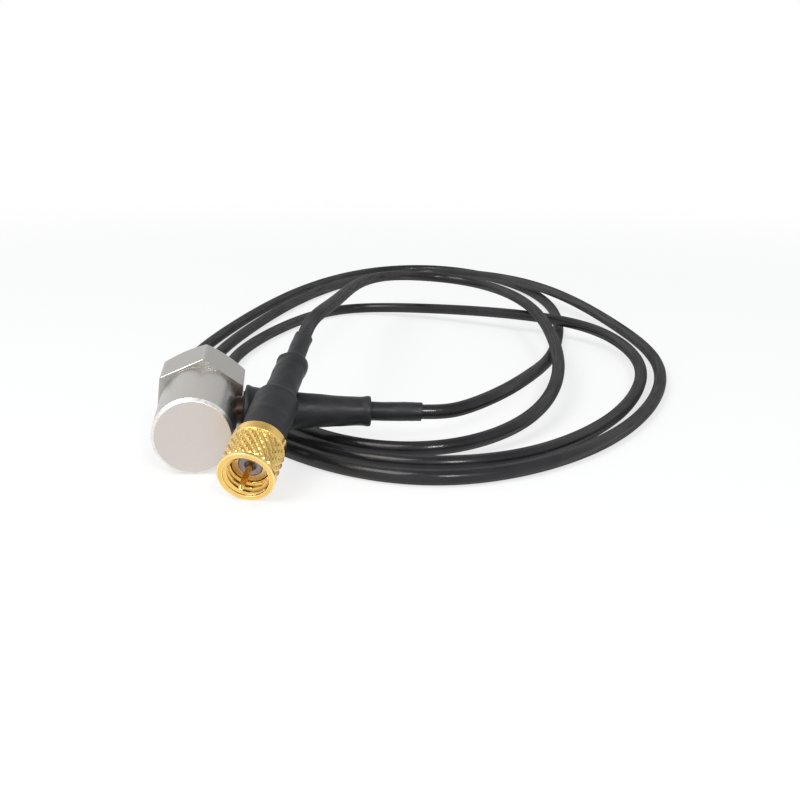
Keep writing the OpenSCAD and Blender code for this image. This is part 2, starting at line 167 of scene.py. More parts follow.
class SensorSizes(bpy.types.PropertyGroup):
    """Sizes of the sensor's case and base"""
    hexagon_width: length("Hexagon width", "Width across the flats of the base", 10)
    hexagon_length: length("Hexagon length", "Length of the hexagon along the axis", 6.5)
    hexagon_chamfer: length("Corner chamfer", "Chamfer that cuts the corners of the mounting face", 0.9)
    corner_radius: length("Corner radius", "Rounding of the hexagon's long edges", 0.32)
    front_edge: length("Front edge", "Small chamfer along the hexagon's front edges", 0.06)
    hexagon_turn: FloatProperty(name="Hexagon turn", description="Turn of the hexagon from the cable exit",
                                default=math.radians(-5), subtype="ANGLE")
    case_diameter: length("Case diameter", "Outer diameter of the round case", 9.4)
    sensor_length: length("Sensor length", "From the mounting face to the cap", 16.8)
    cap_thickness: length("Cap thickness", "Thickness of the closed end", 0.9)
    rim_chamfer: length("Rim chamfer", "Chamfer round the cap", 0.35)
    stud_pitch: length("Stud thread pitch", "Pitch of the thread in the mounting hole", 0.8)
    stud_groove: length("Stud thread depth", "Depth of the thread's groove", 0.36)
    stub_diameter: length("Exit tube diameter", "Outer diameter of the metal exit tube", 3.4)


class LeadSizes(bpy.types.PropertyGroup):
    """Sizes of the cable and of the tubes shrunk on it"""
    cable_diameter: length("Cable diameter", "Outer diameter of the cable's jacket", 1.8)
    ring_spacing: length("Ring spacing", "Length of one step of the cable's mesh", 0.75)
    boot_root: length("Boot root", "Diameter of the sensor's boot at the case", 5.9)
    boot_tip: length("Boot tip", "Diameter of the sensor's boot at its end", 3.5)
    sleeve_diameter: length("Sleeve diameter", "Diameter of the small sleeves on the cable", 2.3)
    collar_diameter: length("Collar diameter", "Diameter of the wide sleeve behind the nut", 5.2)
    plug_boot_diameter: length("Plug boot diameter", "Diameter of the boot behind the plug", 3.9)
    lump: length("Shrink lumps", "Height of the unevenness of the shrunk tubes", 0.05)


class PlugSizes(bpy.types.PropertyGroup):
    """Sizes of the coaxial plug"""
    nut_diameter: length("Nut diameter", "Outer diameter over the knurl", 6.4)
    nut_length: length("Nut length", "Length of the coupling nut", 6.3)
    mouth_diameter: length("Mouth diameter", "Opening in front of the thread", 5.1)
    crest_diameter: length("Thread crests", "Crest diameter of the inner thread", 4.3)
    thread_pitch: length("Thread pitch", "Pitch of the inner thread", 0.75)
    thread_groove: length("Thread depth", "Depth of the inner thread's groove", 0.4)
    knurl_depth: length("Knurl depth", "Depth of the diamond knurl", 0.24)
    knurl_count: IntProperty(name="Knurl count", description="Ridges round the nut", default=24, min=8)
    knurl_helix: FloatProperty(name="Knurl helix", description="Angle of the ridges to the axis",
                               default=math.radians(35), subtype="ANGLE")
    knurl_cross: share("Cross grooves", "Depth of the second set of grooves, as a share of the first", 0.6)
    flange_diameter: length("Flange diameter", "Front face of the plug's body", 4.14)
    neck_diameter: length("Neck diameter", "Neck on which the nut turns", 3.4)
    insulator_diameter: length("Insulator diameter", "Insulating bead round the pin", 2.6)
    pin_diameter: length("Pin diameter", "Diameter of the contact pin", 0.66)


class Finishes(bpy.types.PropertyGroup):
    """Colours and gloss of the materials"""
    steel: colour("Steel", "Turned stainless steel", (0.47, 0.455, 0.435))
    # The cap's pale colour is painted light, for the bright reflection on its face.
    cap_steel: colour("Cap", "Fine matt face of the cap", (0.66, 0.615, 0.58))
    # The exit tube's dark brown colour is painted shade: it stands for the shadow between the case and the
    # boot, and is not a heat tint.
    tube_steel: colour("Exit tube", "Heat-tinted steel of the exit tube", (0.042, 0.03, 0.024))
    steel_roughness: share("Steel roughness", "Satin of the turned steel", 0.3)
    gold: colour("Gold plate", "Bright gold plate", (0.95, 0.65, 0.2))
    # The body's paler gold is painted light: it lightens the plate that sits in the nut's shade.
    pale_gold: colour("Pale gold plate", "Plate of the plug's body inside the nut", (0.95, 0.76, 0.42))
    gold_roughness: share("Gold roughness", "Gloss of the plate", 0.2)
    shrink_tube: colour("Shrunk tube", "Matt black shrunk tube", (0.012, 0.0125, 0.0145))
    jacket: colour("Cable jacket", "Black extruded jacket", (0.011, 0.0105, 0.012))
    bead: colour("Insulating bead", "Grey bead round the pin", (0.4, 0.37, 0.4))


class StageSettings(bpy.types.PropertyGroup):
    """Floor, light and camera"""
    floor: colour("Floor", "Colour of the floor", (0.9, 0.9, 0.9))
    lens: FloatProperty(name="Lens", description="Focal length for a 36 mm wide sensor", default=51.98,
                        unit="CAMERA")
    key_power: FloatProperty(name="Key light", description="Power of the large light above left",
                             default=2.5, unit="POWER")
    fill_power: FloatProperty(name="Fill light", description="Power of the light above the camera",
                              default=1.3, unit="POWER")
    ceiling: share("Ceiling", "Level of the light from above", 0.5)
    ceiling_tint: colour("Ceiling tint", "Colour of the light from above", (0.88, 0.94, 1.0))


def in_mm(group):
    """Values of a property group, lengths in millimetres"""
    values = {}
    for prop in group.bl_rna.properties:
        if prop.identifier in group.__annotations__:
            value = getattr(group, prop.identifier)
            values[prop.identifier] = value / MM if prop.unit == "LENGTH" else value
    return SimpleNamespace(**values)


def sensor_place():
    """Frame of the sensor: origin on the mounting face, Z towards the cap, in millimetres"""
    face = MOUNTS["mounting_face"]
    tilt = math.asin(face["axis"][2])
    origin = Vector((0, face["pos_m"][1], face["pos_m"][2])) / MM
    return (Matrix.Translation(origin) @ Matrix.Rotation(math.radians(90) + tilt, 4, "X")
            @ Matrix.Rotation(EXIT_ROLL, 4, "Z"))


def exit_place():
    """Frame of the cable exit: Z along the exit, from the sensor's axis"""
    return (sensor_place() @ Matrix.Translation((0, 0, EXIT_HEIGHT))
            @ Matrix.Rotation(math.radians(90), 4, "Y"))


def plug_place():
    """Frame of the plug: origin at the nut's mouth, Z into the plug"""
    axis = Vector(SPIN["axis"]).normalized()
    yaw = math.atan2(axis.x, axis.y)
    pitch = math.asin(axis.z)
    return (Matrix.Translation(Vector(SPIN["pos_m"]) / MM) @ Matrix.Rotation(-yaw, 4, "Z")
            @ Matrix.Rotation(pitch - math.radians(90), 4, "X"))


# Meshes


def row(radius, height, edge=0.0, knurl=0.0, thread=0.0):
    """Point of a profile, with its marks of wear, knurl and thread"""
    return (radius, height, edge, knurl, thread)


def eased(corners, steps=4):
    """Rows of a closed profile whose corners with a third number are rounded to that radius"""
    rows = []
    for i, corner in enumerate(corners):
        radius = corner[2] if len(corner) > 2 else 0
        if not radius:
            rows.append(row(corner[0], corner[1]))
            continue
        here = Vector(corner[:2])
        back = Vector(corners[i - 1][:2]) - here
        ahead = Vector(corners[(i + 1) % len(corners)][:2]) - here
        half = back.angle(ahead) / 2
        reach = min(radius / math.tan(half), 0.4 * back.length, 0.4 * ahead.length)
        start, end = here + back.normalized() * reach, here + ahead.normalized() * reach
        rows.append(row(*(here + back.normalized() * reach * 1.2)))
        for k in range(steps + 1):
            t = k / steps
            rows.append(row(*(start * (1 - t) ** 2 + here * 2 * t * (1 - t) + end * t * t), edge=1))
        rows.append(row(*(here + ahead.normalized() * reach * 1.2)))
    return rows


def stepped(start, end, step, **marks):
    """Rows on a straight stretch of a profile, evenly spaced"""
    count = max(1, round((Vector(end) - Vector(start)).length / step))
    return [row(*(Vector(start).lerp(Vector(end), k / count)), **marks) for k in range(count + 1)]


def solid_mesh(name, points, faces, marks=None):
    """Mesh with its faces outwards, its marks as point attributes"""
    mesh = bpy.data.meshes.new(name)
    mesh.from_pydata(points.tolist(), [], faces)
    for key, values in (marks or {}).items():
        mesh.attributes.new(key, "FLOAT", "POINT").data.foreach_set("value", values.astype(np.float32))
    mesh.update()
    volume = sum(
        Vector(points[f[0]]).dot(Vector(points[f[k]]).cross(Vector(points[f[k + 1]])))
        for f in faces for k in range(1, len(f) - 1)
    )
    if volume < 0:
        mesh.flip_normals()
    return mesh


def faces_between(rings, closed=False):
    """Faces that join rings of points, one after the other. A ring on the axis is one point over and over."""
    faces = []
    for a, b in zip(rings, rings[1:] + rings[:1] if closed else rings[1:]):
        for j in range(len(a)):
            k = (j + 1) % len(a)
            face = [a[j], a[k], b[k], b[j]]
            faces.append([v for n, v in enumerate(face) if v not in face[:n]])
    return faces


def turned_mesh(name, rows, sides, shape=None):
    """Solid turned from rows of a profile, in millimetres about Z. shape(row, angle) may move a point."""
    points, rings, marks = [], [], {"edge": [], "knurl": [], "thread": []}
    for r in rows:
        on_axis = r[0] < 1e-6
        start = len(points)
        for j in range(1 if on_axis else sides):
            angle = 2 * math.pi * j / sides
            radius, height = shape(r, angle) if shape else r[:2]
            points.append((radius * math.cos(angle), radius * math.sin(angle), height))
            for key, value in zip(marks, r[2:]):
                marks[key].append(value)
        rings.append([start] * sides if on_axis else list(range(start, start + sides)))
    from_axis = rows[0][0] < 1e-6 and rows[-1][0] < 1e-6
    faces = faces_between(rings, closed=not from_axis)
    return solid_mesh(name, np.array(points), faces, {key: np.array(v) for key, v in marks.items()})


def linked(name, data):
    """New object in the scene"""
    made = bpy.data.objects.new(name, data)
    bpy.context.scene.collection.objects.link(made)
    return made


def finished(mesh, place, material, body, node, sharp=32):
    """Puts a mesh in its place as a piece that rides on a body and stands for a node"""
    mesh.transform(Matrix.Scale(MM, 4) @ place)
    mesh.materials.clear()
    mesh.materials.append(material)
    mesh.shade_smooth()
    mesh.set_sharp_from_angle(angle=math.radians(sharp))
    piece = linked(node + "_piece", mesh)
    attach(piece, body)
    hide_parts(node)
    return piece


def turned_piece(node, rows, place, material, sides):
    """Piece of the sensor's body turned from a profile"""
    return finished(turned_mesh(node, rows, sides), place, material, SENSOR_BODY, node)


def evaluated_mesh(mesh, name, add_modifier):
    """Mesh after one modifier, as a plain mesh"""
    holder = linked(name + "_blank", mesh)
    add_modifier(holder)
    bpy.context.view_layer.update()
    made = bpy.data.meshes.new_from_object(holder.evaluated_get(bpy.context.evaluated_depsgraph_get()))
    made.name = name
    holder.modifiers.clear()
    bpy.data.objects.remove(holder)
    return made


def cut_from(mesh, cutter, name):
    """Mesh with another solid taken out of it"""
    tool = linked(name + "_cutter", cutter)

    def add(holder):
        boolean = holder.modifiers.new("cut", "BOOLEAN")
        boolean.operation = "DIFFERENCE"
        boolean.solver = "EXACT"
        boolean.object = tool

    made = evaluated_mesh(mesh, name, add)
    bpy.data.objects.remove(tool)
    return made


# Node trees


def feed(tree, socket, value):
    """Links a socket, or sets its value"""
    if isinstance(value, bpy.types.NodeSocket):
        tree.links.new(value, socket)
    else:
        socket.default_value = value


def put(tree, kind, inputs=None, **settings):
    """Adds a node with its settings, values and links"""
    made = tree.nodes.new(kind)
    for key, value in settings.items():
        setattr(made, key, value)
    for key, value in (inputs or {}).items():
        feed(tree, made.inputs[key], value)
    return made


def sum_of(tree, operation, *values):
    """Output of a maths node"""
    return put(tree, "ShaderNodeMath", dict(enumerate(values)), operation=operation).outputs[0]


def xyz(tree, vector):
    """The three outputs of a vector"""
    return put(tree, "ShaderNodeSeparateXYZ", {0: vector}).outputs


def cloud(tree, at, scale, detail, **more):
    """Noise of a scale and a detail"""
    inputs = {"Vector": at, "Scale": scale, "Detail": detail, **more}
    return put(tree, "ShaderNodeTexNoise", inputs).outputs[0]


def span(tree, value, low, high, start=0.0, end=1.0, smooth=False):
    """Value that goes from low to high while another goes from start to end"""
    return put(tree, "ShaderNodeMapRange", {
        "Value": value, "From Min": start, "From Max": end, "To Min": low, "To Max": high,
    }, interpolation_type="SMOOTHSTEP" if smooth else "LINEAR").outputs[0]


def triangle_wave(tree, value):
    """0 at whole numbers, 1 half way between"""
    saw = sum_of(tree, "FRACT", value)
    bent = sum_of(tree, "ABSOLUTE", sum_of(tree, "MULTIPLY_ADD", saw, 2.0, -1.0))
    return sum_of(tree, "SUBTRACT", 1.0, bent)


def stored(tree, geometry, name, value):
    """Geometry with a value kept as a point attribute"""
    return put(tree, "GeometryNodeStoreNamedAttribute", {
        "Geometry": geometry, "Name": name, "Value": value,
    }, data_type="FLOAT", domain="POINT").outputs[0]


def put_out(tree, geometry, material, result):
    """Ends a tree with real geometry in its material"""
    real = put(tree, "GeometryNodeRealizeInstances", {"Geometry": geometry}).outputs[0]
    dressed = put(tree, "GeometryNodeSetMaterial", {"Geometry": real, "Material": material}).outputs[0]
    tree.links.new(dressed, result["Geometry"])


FLOAT, VECTOR, GEOMETRY = "NodeSocketFloat", "NodeSocketVector", "NodeSocketGeometry"
INTEGER, MATERIAL = "NodeSocketInt", "NodeSocketMaterial"
# Places of the colour sockets of a mix node
MIX_LOW, MIX_HIGH, MIX_RESULT = 6, 7, 2


def new_tree(name, kind, inputs, outputs):
    """Node group with named sockets, and its ends"""
    tree = bpy.data.node_groups.new(name, kind)
    for socket_name, socket_type, default in inputs:
        socket = tree.interface.new_socket(socket_name, in_out="INPUT", socket_type=socket_type)
        if default is not None:
            socket.default_value = default
    for socket_name, socket_type in outputs:
        tree.interface.new_socket(socket_name, in_out="OUTPUT", socket_type=socket_type)
    return tree, put(tree, "NodeGroupInput").outputs, put(tree, "NodeGroupOutput").inputs


def built_once(name):
    """Node group that is built at its first use and found by its name after that"""
    def keep(build):
        return lambda: bpy.data.node_groups.get(name) or build(name)
    return keep


@built_once("Cut knurl and thread")
def cutting_tree(name):
    """Geometry nodes that cut a knurl and a screw thread into a turned blank"""
    tree, given, result = new_tree(name, "GeometryNodeTree", [
        ("Geometry", GEOMETRY, None), ("Knurl depth", FLOAT, 0.24), ("Knurl count", FLOAT, 24.0),
        ("Knurl turn", FLOAT, 0.18), ("Cross share", FLOAT, 0.6), ("Thread pitch", FLOAT, 0.75),
        ("Thread depth", FLOAT, 0.4), ("Material", MATERIAL, None),
    ], [("Geometry", GEOMETRY)])
    place = xyz(tree, put(tree, "GeometryNodeInputPosition").outputs[0])
    turn = sum_of(tree, "DIVIDE", sum_of(tree, "ARCTAN2", place["Y"], place["X"]), 2 * math.pi)
    along = sum_of(tree, "MULTIPLY", place["Z"], given["Knurl turn"])
    flat_top = 1.25

    def grooves(way):
        """One of the two sets of grooves: 1 at their bottom, 0 on the flat-topped ridges"""
        turns = sum_of(tree, "MULTIPLY", sum_of(tree, way, turn, along), given["Knurl count"])
        sides = sum_of(tree, "MULTIPLY_ADD", triangle_wave(tree, turns), -flat_top, 1.0)
        return sum_of(tree, "MAXIMUM", sides, 0.0)

    def marked(mark):
        return put(tree, "GeometryNodeInputNamedAttribute", {"Name": mark}, data_type="FLOAT").outputs[0]

    crossing = sum_of(tree, "MULTIPLY", grooves("SUBTRACT"), given["Cross share"])
    cut = sum_of(tree, "MAXIMUM", grooves("ADD"), crossing)
    valley = sum_of(tree, "MULTIPLY", sum_of(tree, "MULTIPLY", cut, -1.0), given["Knurl depth"])
    screw = sum_of(tree, "SUBTRACT", sum_of(tree, "DIVIDE", place["Z"], given["Thread pitch"]), turn)
    flanks = sum_of(tree, "MULTIPLY_ADD", triangle_wave(tree, screw), 1.6, -0.3)
    deep = sum_of(tree, "MAXIMUM", sum_of(tree, "MINIMUM", flanks, 1.0), 0.0)
    groove = sum_of(tree, "MULTIPLY", deep, given["Thread depth"])
    lift = sum_of(tree, "ADD", sum_of(tree, "MULTIPLY", valley, marked("knurl")),
                  sum_of(tree, "MULTIPLY", groove, marked("thread")))
    outward = put(tree, "ShaderNodeVectorMath", {
        0: put(tree, "ShaderNodeCombineXYZ", {"X": place["X"], "Y": place["Y"]}).outputs[0],
    }, operation="NORMALIZE").outputs[0]
    offset = put(tree, "ShaderNodeVectorMath", {0: outward, "Scale": lift}, operation="SCALE").outputs[0]
    crown = sum_of(tree, "MULTIPLY", sum_of(tree, "SUBTRACT", 1.0, cut), marked("knurl"))
    crowned = stored(tree, given["Geometry"], "crown", crown)
    grooved = stored(tree, crowned, "groove", sum_of(tree, "MULTIPLY", deep, marked("thread")))
    moved = put(tree, "GeometryNodeSetPosition", {"Geometry": grooved, "Offset": offset}).outputs[0]
    put_out(tree, moved, given["Material"], result)
    return tree


@built_once("Jacket along a route")
def jacket_tree(name):
    """Geometry nodes that sweep a round jacket along a line of points"""
    tree, given, result = new_tree(name, "GeometryNodeTree", [
        ("Geometry", GEOMETRY, None), ("Radius", FLOAT, 0.9), ("Sides", INTEGER, CABLE_SIDES),
        ("Material", MATERIAL, None),
    ], [("Geometry", GEOMETRY)])
    line = put(tree, "GeometryNodeMeshToCurve", {"Mesh": given["Geometry"]}).outputs[0]
    ring = put(tree, "GeometryNodeCurvePrimitiveCircle", {
        "Resolution": given["Sides"], "Radius": given["Radius"],
    }).outputs[0]
    run = put(tree, "GeometryNodeSplineParameter").outputs
    tube = put(tree, "GeometryNodeCurveToMesh", {
        "Curve": stored(tree, line, "along", run["Length"]),
        "Profile Curve": stored(tree, ring, "around", run["Factor"]), "Fill Caps": True,
    }).outputs[0]
    put_out(tree, tube, given["Material"], result)
    return tree


def grown(mesh, name, tree, values):
    """Mesh that a geometry node tree makes from another, with its inputs set"""
    def add(holder):
        modifier = holder.modifiers.new("nodes", "NODES")
        modifier.node_group = tree
        for item in tree.interface.items_tree:
            if item.item_type == "SOCKET" and item.in_out == "INPUT" and item.name in values:
                modifier[item.identifier] = values[item.name]

    return evaluated_mesh(mesh, name, add)


# Shader groups


@built_once("Turning marks")
def turning_group(name):
    """Fine rings that a lathe tool leaves, round the Z axis of the given place"""
    tree, given, result = new_tree(name, "ShaderNodeTree", [
        ("Place", VECTOR, None), ("Lines per mm", FLOAT, 14.0), ("Waviness", FLOAT, 0.4),
    ], [("Mask", FLOAT), ("Height", FLOAT)])
    at = xyz(tree, given["Place"])
    flat = put(tree, "ShaderNodeCombineXYZ", {"X": at["X"], "Y": at["Y"]}).outputs[0]
    radius = put(tree, "ShaderNodeVectorMath", {0: flat}, operation="LENGTH").outputs["Value"]
    scale = sum_of(tree, "MULTIPLY", given["Lines per mm"], 1 / MM)
    drift = cloud(tree, given["Place"], 0.5 / MM, 1.0)
    rings = put(tree, "ShaderNodeCombineXYZ", {
        "X": sum_of(tree, "MULTIPLY", radius, scale), "Y": sum_of(tree, "MULTIPLY", at["Z"], scale),
        "Z": sum_of(tree, "MULTIPLY", drift, given["Waviness"]),
    }).outputs[0]
    lines = cloud(tree, rings, 1.0, 3.0, Roughness=0.65)
    patches = cloud(tree, given["Place"], 0.9 / MM, 4.0)
    both = sum_of(tree, "MULTIPLY_ADD", patches, 0.5, sum_of(tree, "MULTIPLY", lines, 0.5))
    tree.links.new(span(tree, both, 0.0, 1.0, 0.35, 0.65), result["Mask"])
    tree.links.new(lines, result["Height"])
    return tree


@built_once("Fine grain")
def grain_group(name):
    """Fine grain, soft blotches and a few specks of a surface"""
    tree, given, result = new_tree(name, "ShaderNodeTree", [
        ("Place", VECTOR, None), ("Grains per mm", FLOAT, 12.0), ("Blotches per mm", FLOAT, 0.6),
    ], [("Grain", FLOAT), ("Blotches", FLOAT), ("Specks", FLOAT)])
    scale = sum_of(tree, "MULTIPLY", given["Grains per mm"], 1 / MM)
    wide_scale = sum_of(tree, "MULTIPLY", given["Blotches per mm"], 1 / MM)
    wide = cloud(tree, given["Place"], wide_scale, 4.0)
    dots = put(tree, "ShaderNodeTexVoronoi", {
        "Vector": given["Place"], "Scale": sum_of(tree, "MULTIPLY", scale, 0.35),
    }).outputs["Distance"]
    tree.links.new(cloud(tree, given["Place"], scale, 3.0), result["Grain"])
    tree.links.new(span(tree, wide, 0.0, 1.0, 0.38, 0.66), result["Blotches"])
    tree.links.new(span(tree, dots, 0.0, 1.0, 0.16, 0.05), result["Specks"])
    return tree


@built_once("Edge wear")
def wear_group(name):
    """Bright wear along rounded edges, broken up by grain"""
    tree, given, result = new_tree(name, "ShaderNodeTree", [
        ("Edge", FLOAT, 0.0), ("Place", VECTOR, None), ("Breaks per mm", FLOAT, 3.0),
    ], [("Mask", FLOAT)])
    scale = sum_of(tree, "MULTIPLY", given["Breaks per mm"], 1 / MM)
    broken = span(tree, cloud(tree, given["Place"], scale, 3.0), 0.0, 1.0, 0.2, 0.45)
    tree.links.new(sum_of(tree, "MULTIPLY", given["Edge"], broken), result["Mask"])
    return tree


class Paint:
    """A material with its Principled shader, and short ways to add nodes to it"""

    def __init__(self, name, place=None, **sockets):
        self.material = bpy.data.materials.new(name)
        self.material.use_nodes = True
        self.tree = self.material.node_tree
        self.shader = self.tree.nodes["Principled BSDF"]
        for key, value in sockets.items():
            self.shader.inputs[key.replace("_", " ")].default_value = value
        self.at = put(self.tree, "ShaderNodeTexCoord").outputs["Object"]
        if place is not None:
            back = (Matrix.Scale(MM, 4) @ place @ Matrix.Scale(1 / MM, 4)).inverted()
            self.at = put(self.tree, "ShaderNodeMapping", {
                "Vector": self.at, "Location": back.to_translation(), "Rotation": back.to_euler(),
            }).outputs[0]

    def group(self, tree, **values):
        """Outputs of a node group at the surface's own place"""
        inputs = {key.replace("_", " "): value for key, value in values.items()}
        return put(self.tree, "ShaderNodeGroup", {"Place": self.at, **inputs}, node_tree=tree).outputs

    def attribute(self, name):
        return put(self.tree, "ShaderNodeAttribute", attribute_name=name).outputs["Fac"]

    def grain(self, grains, blotches):
        """Grain, blotches and specks, so many to a millimetre"""
        return self.group(grain_group(), Grains_per_mm=grains, Blotches_per_mm=blotches)

    def wear(self, breaks):
        """Mask of the worn edges, broken so often in a millimetre"""
        return self.group(wear_group(), Edge=self.attribute("edge"), Breaks_per_mm=breaks)["Mask"]

    def blend(self, mask, low, high):
        """Colour that goes from one to the other with a mask"""
        ends = [c if isinstance(c, bpy.types.NodeSocket) else (*c, 1) for c in (low, high)]
        inputs = {"Factor": mask, MIX_LOW: ends[0], MIX_HIGH: ends[1]}
        return put(self.tree, "ShaderNodeMix", inputs, data_type="RGBA").outputs[MIX_RESULT]

    def span(self, value, low, high, start=0.0, end=1.0):
        return span(self.tree, value, low, high, start, end)

    def link(self, value, socket):
        self.tree.links.new(value, self.shader.inputs[socket])

    def bump(self, height, depth_mm, under=None):
        """Bump of a real depth. under is a bump that it is added to."""
        inputs = {"Height": height, "Strength": 1.0, "Distance": depth_mm * MM}
        if under is not None:
            inputs["Normal"] = under
        return put(self.tree, "ShaderNodeBump", inputs).outputs[0]


def shade(base, factor):
    """Colour made lighter or darker"""
    return tuple(min(1, c * factor) for c in base)


def tinted(base, factors):
    """Colour with each of its parts scaled"""
    return tuple(c * f for c, f in zip(base, factors))


def turned_steel(name, place, steel, finishes, lines=14.0, face=None, worn=1.9):
    """Satin turned steel with rings and blotches, and edges lightened partly as wear and partly as a painted
    highlight. face is the height of the cap's matt end, whose pale colour is painted light.
    """
    paint = Paint(name, place, Metallic=1.0)
    marks = paint.group(turning_group(), Lines_per_mm=lines)
    grain = paint.grain(grains=22.0, blotches=0.35)
    wear = paint.wear(breaks=3.0)
    satin = paint.blend(marks["Mask"], shade(steel, 0.94), shade(steel, 1.05))
    warm = tinted(steel, (1.03, 0.98, 0.91))
    toned = paint.blend(paint.span(grain["Blotches"], 0.0, 0.35), satin, warm)
    rough = paint.span(marks["Mask"], finishes.steel_roughness - 0.05, finishes.steel_roughness + 0.06)
    # On the cap's end the paler colour is painted light, standing for the bright reflection on the face; the
    # added roughness is the face's own matt finish.
    if face is not None:
        height = xyz(paint.tree, paint.at)["Z"]
        on_face = paint.span(height, 0.0, 1.0, (face - 0.06) * MM, (face - 0.03) * MM)
        specks = paint.span(grain["Grain"], 0.0, 1.0, 0.35, 0.65)
        matt = paint.blend(specks, shade(finishes.cap_steel, 0.96), shade(finishes.cap_steel, 1.03))
        toned = paint.blend(on_face, toned, matt)
        rough = sum_of(paint.tree, "MULTIPLY_ADD", on_face, 0.08, rough)
    # Rounded edges are lightened towards a paler steel: partly real wear, partly a painted highlight for the
    # bright lines along them.
    paint.link(paint.blend(wear, toned, shade(steel, worn)), "Base Color")
    paint.link(rough, "Roughness")
    fine = paint.bump(grain["Grain"], 0.002)
    paint.link(paint.bump(marks["Height"], 0.004, fine), "Normal")
    return paint.material


def gold_plate(name, place, gold, roughness, tarnish=0.25):
    """Bright gold plate, with painted shade in its thread grooves and pale on its worn crowns and edges"""
    paint = Paint(name, place, Metallic=1.0)
    marks = paint.group(turning_group(), Lines_per_mm=10.0)
    grain = paint.grain(grains=16.0, blotches=0.8)
    wear = paint.wear(breaks=5.0)
    brown, groove_painted_shade = tinted(gold, (0.72, 0.58, 0.42)), tinted(gold, (0.32, 0.17, 0.08))
    pale = (1.0, 0.8, 0.4)
    plain = paint.blend(paint.span(grain["Blotches"], 0.0, tarnish), gold, brown)
    crown = paint.blend(paint.span(paint.attribute("crown"), 0.0, 0.5, 0.6, 1.0), plain, pale)
    # The thread grooves are darkened as painted shade.
    groove = paint.blend(paint.span(paint.attribute("groove"), 0.0, 0.9), crown, groove_painted_shade)
    paint.link(paint.blend(wear, groove, pale), "Base Color")
    paint.link(paint.span(marks["Mask"], roughness - 0.05, roughness + 0.08), "Roughness")
    fine = paint.bump(grain["Grain"], 0.0015)
    paint.link(paint.bump(marks["Height"], 0.002, fine), "Normal")
    return paint.material


def shrunk_tube(name, place, finishes, tone=1.0):
    """Matt black shrunk tube with a dry bloom, fine pores and a few specks of dust"""
    paint = Paint(name, place, Specular_IOR_Level=0.32)
    grain = paint.grain(grains=9.0, blotches=0.45)
    wear = paint.wear(breaks=2.0)
    base, dust = shade(finishes.shrink_tube, tone), (0.3, 0.3, 0.29)
    bloom = paint.blend(grain["Blotches"], base, shade(base, 1.6))
    rubbed = paint.blend(paint.span(wear, 0.0, 0.4), bloom, shade(base, 2.6))
    paint.link(paint.blend(paint.span(grain["Specks"], 0.0, 0.06), rubbed, dust), "Base Color")
    paint.link(paint.span(grain["Blotches"], 0.42, 0.56), "Roughness")
    soft = paint.group(grain_group(), Grains_per_mm=2.2)["Grain"]
    paint.link(paint.bump(grain["Grain"], 0.004, paint.bump(soft, 0.02)), "Normal")
    return paint.material


def cable_jacket(finishes):
    """Black semi-gloss extruded jacket with drawn lines and the faint print of the screen below"""
    paint = Paint("cable_jacket", Specular_IOR_Level=0.32)
    tree, dust = paint.tree, (0.25, 0.25, 0.25)
    grain = paint.grain(grains=7.0, blotches=0.25)
    sheet = put(tree, "ShaderNodeUVMap", uv_map="jacket").outputs[0]
    at = xyz(tree, sheet)
    around, along = sum_of(tree, "MULTIPLY", at["X"], 8.0), sum_of(tree, "MULTIPLY", at["Y"], 0.9 / MM)
    strands = [triangle_wave(tree, sum_of(tree, way, around, along)) for way in ("ADD", "SUBTRACT")]
    braid = sum_of(tree, "MULTIPLY", *strands)
    stretched = put(tree, "ShaderNodeVectorMath", {0: sheet, 1: (40.0, 0.12 / MM, 1.0)}, operation="MULTIPLY")
    drawn = cloud(tree, stretched.outputs[0], 1.0, 2.0)
    tone = paint.blend(grain["Blotches"], finishes.jacket, shade(finishes.jacket, 1.7))
    paint.link(paint.blend(paint.span(grain["Specks"], 0.0, 0.05), tone, dust), "Base Color")
    grazing = put(tree, "ShaderNodeLayerWeight", {"Blend": 0.5}).outputs["Facing"]
    dull = paint.span(grazing, 0.0, 0.5, 0.4, 0.72)
    paint.link(sum_of(tree, "ADD", paint.span(drawn, 0.14, 0.4, 0.45, 0.66), dull), "Roughness")
    paint.link(paint.bump(grain["Grain"], 0.008, paint.bump(braid, 0.004)), "Normal")
    return paint.material


def plain_finish(name, base, roughness, metallic=0.0, place=None, grains=8.0, depth_mm=0.004):
    """Inner material with its own grain and blotches"""
    paint = Paint(name, place, Metallic=metallic)
    grain = paint.grain(grains, blotches=0.5)
    paint.link(paint.blend(grain["Blotches"], shade(base, 0.9), shade(base, 1.08)), "Base Color")
    paint.link(paint.span(grain["Grain"], roughness - 0.06, roughness + 0.06), "Roughness")
    paint.link(paint.bump(grain["Grain"], depth_mm), "Normal")
    return paint.material


# The cable's line


def cable_line(spacing):
    """Points of the route, a uniform cubic B-spline, in millimetres"""
    leaving, plug = exit_place(), plug_place()
    route = [leaving @ Vector((0, 0, s)) for s in EXIT_STATIONS]
    route += [Vector(p) for p in LOOSE_POINTS]
    route += [plug @ Vector((0, 0, s)) for s in PLUG_STATIONS]
    poles = [2 * route[0] - route[1], *route, 2 * route[-1] - route[-2]]
    spans = len(route) - 1

    def at(u):
        i = min(int(u), spans - 1)
        t = u - i
        weights = ((1 - t) ** 3, 3 * t ** 3 - 6 * t ** 2 + 4, -3 * t ** 3 + 3 * t ** 2 + 3 * t + 1, t ** 3)
        return sum((p * w / 6 for p, w in zip(poles[i:i + 4], weights)), Vector())

    fine = np.array([at(spans * k / ROUTE_STEPS) for k in range(ROUTE_STEPS + 1)])
    run = np.concatenate([[0], np.cumsum(np.linalg.norm(np.diff(fine, axis=0), axis=1))])
    even = np.linspace(0, run[-1], round(run[-1] / spacing) + 1)
    return np.stack([np.interp(even, run, fine[:, k]) for k in range(3)], axis=1)


